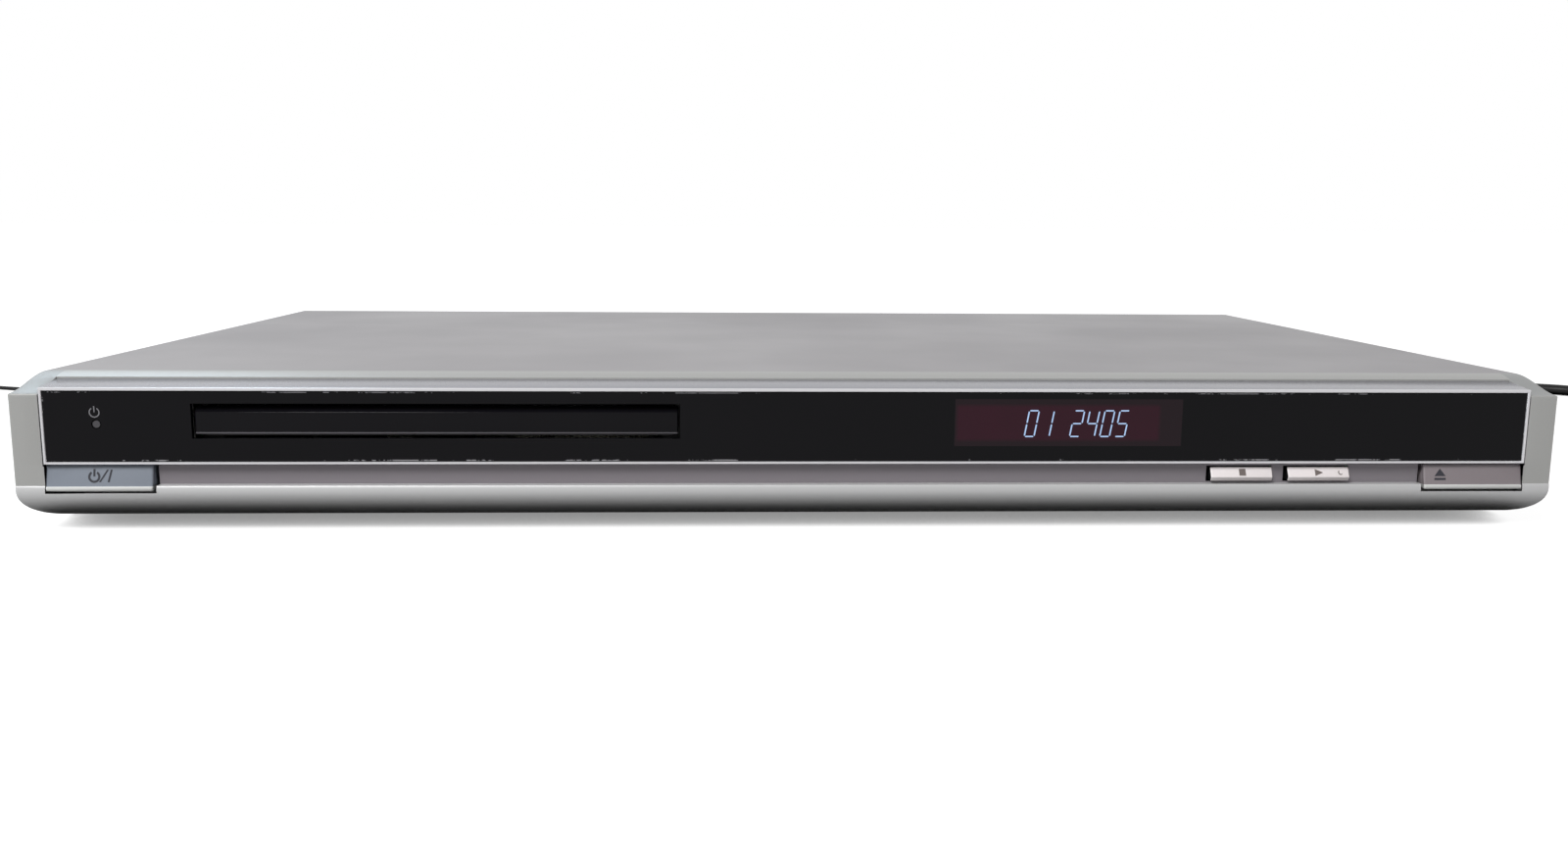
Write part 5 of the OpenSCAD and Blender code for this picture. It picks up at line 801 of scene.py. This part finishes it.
# ---- top cover
# Pressed steel sheet, folded down at both sides and screwed to the chassis. Its satin silver coat
# is stoved on: a fine orange peel, and faint clouds of duller shine where it has been rubbed.
cover_paint = finish("satin_coated_steel", "#9D9A9C", "#979497", 0.5, 0.4, relief=0.006,
                     **{"Specular IOR Level": 0.08})
tree = cover_paint.node_tree
cloud = add(tree, "TexNoise", {"Scale": 14.0, "Detail": 3.0},                # clouds of 70 mm
            {"Vector": add(tree, "TexCoord").outputs["Object"]})
rubbed = add(tree, "MapRange", {1: 0.35, 2: 0.7, 3: 0.33, 4: 0.44}, {0: cloud.outputs[0]})
tree.links.new(rubbed.outputs[0], tree.nodes["Principled BSDF"].inputs["Roughness"])
coat(cover_paint, "top_cover")


# ---- chassis, rear panel and screws
# Chassis, clamp bridge and deck plate: pressed steel, zinc plated like the screws, a cool grey
# that shines unevenly. Rear panel: pressed steel with a dark powder coat, satin and grainy.
zinc = finish("zinc_plated_steel", "#C2C4C6", "#B0B2B6", 3.0, 0.34, metallic=0.85, relief=0.004)
coat(zinc, "bottom_chassis", "cover_screws", "loader_screws", "clamp_bridge", "traverse_plate")
coat(finish("dark_coated_steel", "#55565A", "#4C4D51", 0.4, 0.48, metallic=0.1, relief=0.008), "rear_panel")


# ---- feet, dampers, turntable pad and belt
# Moulded rubber, matte black with a soft grain. The feet are glued under the chassis, and the
# dampers carry the plate on the deck's frame. The belt is cut and ground, and shines a little.
coat(finish("foot_rubber", "#1D1D1D", "#141414", 0.4, 0.8, relief=0.03),
     "rubber_feet", "deck_dampers", "turntable_pad")
coat(finish("belt_rubber", "#171717", "#101010", 0.3, 0.6, relief=0.01), "drive_belt")


# ---- tray, loader frame, deck frame and turntable
# Injection moulded in black ABS. The tools have a fine spark-eroded grain, drawn a little coarser
# than it is so that it shows, which leaves the plastic satin and slightly grey.
grained = finish("grained_black_abs", "#29292B", "#212123", 0.35, 0.5, relief=0.02)
coat(grained, "disc_tray", "loader_frame", "traverse_frame", "turntable")


# ---- gears, pulley, cam slider and clamper
# Natural acetal, injection moulded: cream white, waxy and half glossy. The gears run on posts of
# the loader's frame, and the slider in its guides.
acetal = finish("natural_acetal", "#EAE7DC", "#DFDBCE", 1.2, 0.34, relief=0.004)
coat(acetal, "disc_clamper", "motor_pulley", "pulley_gear", "tray_gear", "cam_slider")


# ---- switches, socket block and mains inlet
# Compression moulded in black phenolic, a hard plastic with a dull, even surface. They stand on
# the boards and the loader's frame, and the socket block behind the rear panel.
coat(finish("black_phenolic", "#1E1E1F", "#161617", 0.5, 0.5, relief=0.01), "tray_switch", "touch_switches",
     "socket_block", "mains_inlet")


# ---- motors, feed screw and guide rods
# Motors: drawn steel cans with bright plating and faint marks of the draw. Feed screw: turned
# brass, yellow and bright, with fine rings. Rods: ground steel, almost a mirror, drawn lengthwise.
motor_can = finish("plated_motor_can", "#C9CACC", "#B9BBBE", 1.0, 0.26, metallic=0.9, relief=0.003,
                   stretch=(1, 1, 6))
coat(motor_can, "loading_motor", "spindle_motor", "feed_motor")
coat(finish("turned_brass", "#C8A459", "#B5924B", 0.3, 0.28, metallic=0.9, relief=0.004, stretch=(8, 1, 8)),
     "feed_screw")
coat(finish("ground_steel", "#D6D7D9", "#C6C7CA", 0.3, 0.16, metallic=1.0, relief=0.002, stretch=(1, 20, 1)),
     "guide_rods")


# ---- pickup
# Sled: die-cast zinc, dull grey with a fine cast skin, on the two rods. Lens and holder: moulded
# glass, whose coating shows blue, set into the sled.
coat(finish("die_cast_zinc", "#8F9092", "#7E7F82", 0.6, 0.45, metallic=0.6, relief=0.02), "pickup_sled")
coat(finish("coated_lens_glass", "#3C4E78", "#33446C", 3.0, 0.06, **{"Coat Weight": 1.0}), "objective_lens")


# ---- circuit boards
# Copper tracks under solder mask, with tinned pads. The main, front and switch boards are glass
# epoxy under green mask, the supply is on brown paper board. Screwed to posts and bosses.
def circuit(name, mask, track, pitch):
    """Solder mask over tracks: a brick pattern gives the tracks, round cells give the pads. pitch
    is the distance between tracks in mm, drawn wide enough to show."""
    made = finish(name, mask, mask, 1.0, 0.4)
    tree = made.node_tree
    board = tree.nodes["Principled BSDF"]
    spot = add(tree, "TexCoord")
    tracks = add(tree, "TexBrick", {"Color1": shade(mask), "Color2": shade(mask), "Mortar": shade(track),
                                    "Scale": 1000 / pitch, "Mortar Size": 0.035, "Brick Width": 1.7},
                 {"Vector": spot.outputs["Object"]})
    pads = add(tree, "TexVoronoi", {"Scale": 400 / pitch, "Randomness": 0.35},
               {"Vector": spot.outputs["Object"]})
    round_pads = add(tree, "MapRange", {1: 0.16, 2: 0.19, 3: 1.0, 4: 0.0}, {0: pads.outputs["Distance"]})
    tinned = add(tree, "Mix", {7: shade("#C9C6B8")}, {0: round_pads.outputs[0], 6: tracks.outputs[0]},
                 data_type="RGBA")
    tree.links.new(tinned.outputs[2], board.inputs["Base Color"])
    return made


coat(circuit("green_circuit_board", "#1F5A34", "#2F7446", 4.0), "main_board", "front_board", "switch_board")
coat(circuit("paper_circuit_board", "#A77F45", "#B9935A", 6.0), "power_board")


# ---- parts on the boards
# Chips: matte black epoxy. Heat sinks: extruded aluminium with lines along the fins. Transformer
# and choke: ferrite under yellow tape. Capacitors: cans in half-glossy blue sleeve. Flat cables:
# pale PVC ribbon whose wires show. Display tube: grey-green glass. Soldered or plugged in.
coat(finish("black_epoxy", "#1C1C1D", "#141415", 0.4, 0.55, relief=0.01), "main_board_chips")
coat(finish("extruded_aluminium", "#C4C6C9", "#B2B5B9", 0.4, 0.32, metallic=0.9, relief=0.004,
            stretch=(1, 12, 1)), "heat_sink")
coat(finish("ferrite_and_tape", "#C9AE55", "#B69A45", 2.5, 0.45, relief=0.01), "transformer")
coat(finish("capacitor_sleeve", "#22284E", "#1B2042", 2.0, 0.3), "capacitors")
coat(finish("flat_cable", "#E6E5E0", "#D3D2CD", 1.2, 0.45, relief=0.02, stretch=(1, 40, 1)), "ribbon_cables")
coat(finish("tube_glass", "#37484A", "#2C3B3D", 3.0, 0.1), "display_tube")


# ---- phono sockets
# Brass sleeves with nickel plating, bright and slightly warm, round insulators of yellow plastic.
# They are pressed into the socket block and stand out through the rear panel.
coat(finish("nickel_plate", "#D2D0C8", "#C2C0B8", 0.6, 0.2, metallic=1.0, relief=0.002), "phono_sleeves")
coat(finish("yellow_insulator", "#C9A21E", "#B8931A", 0.8, 0.4), "phono_inserts")
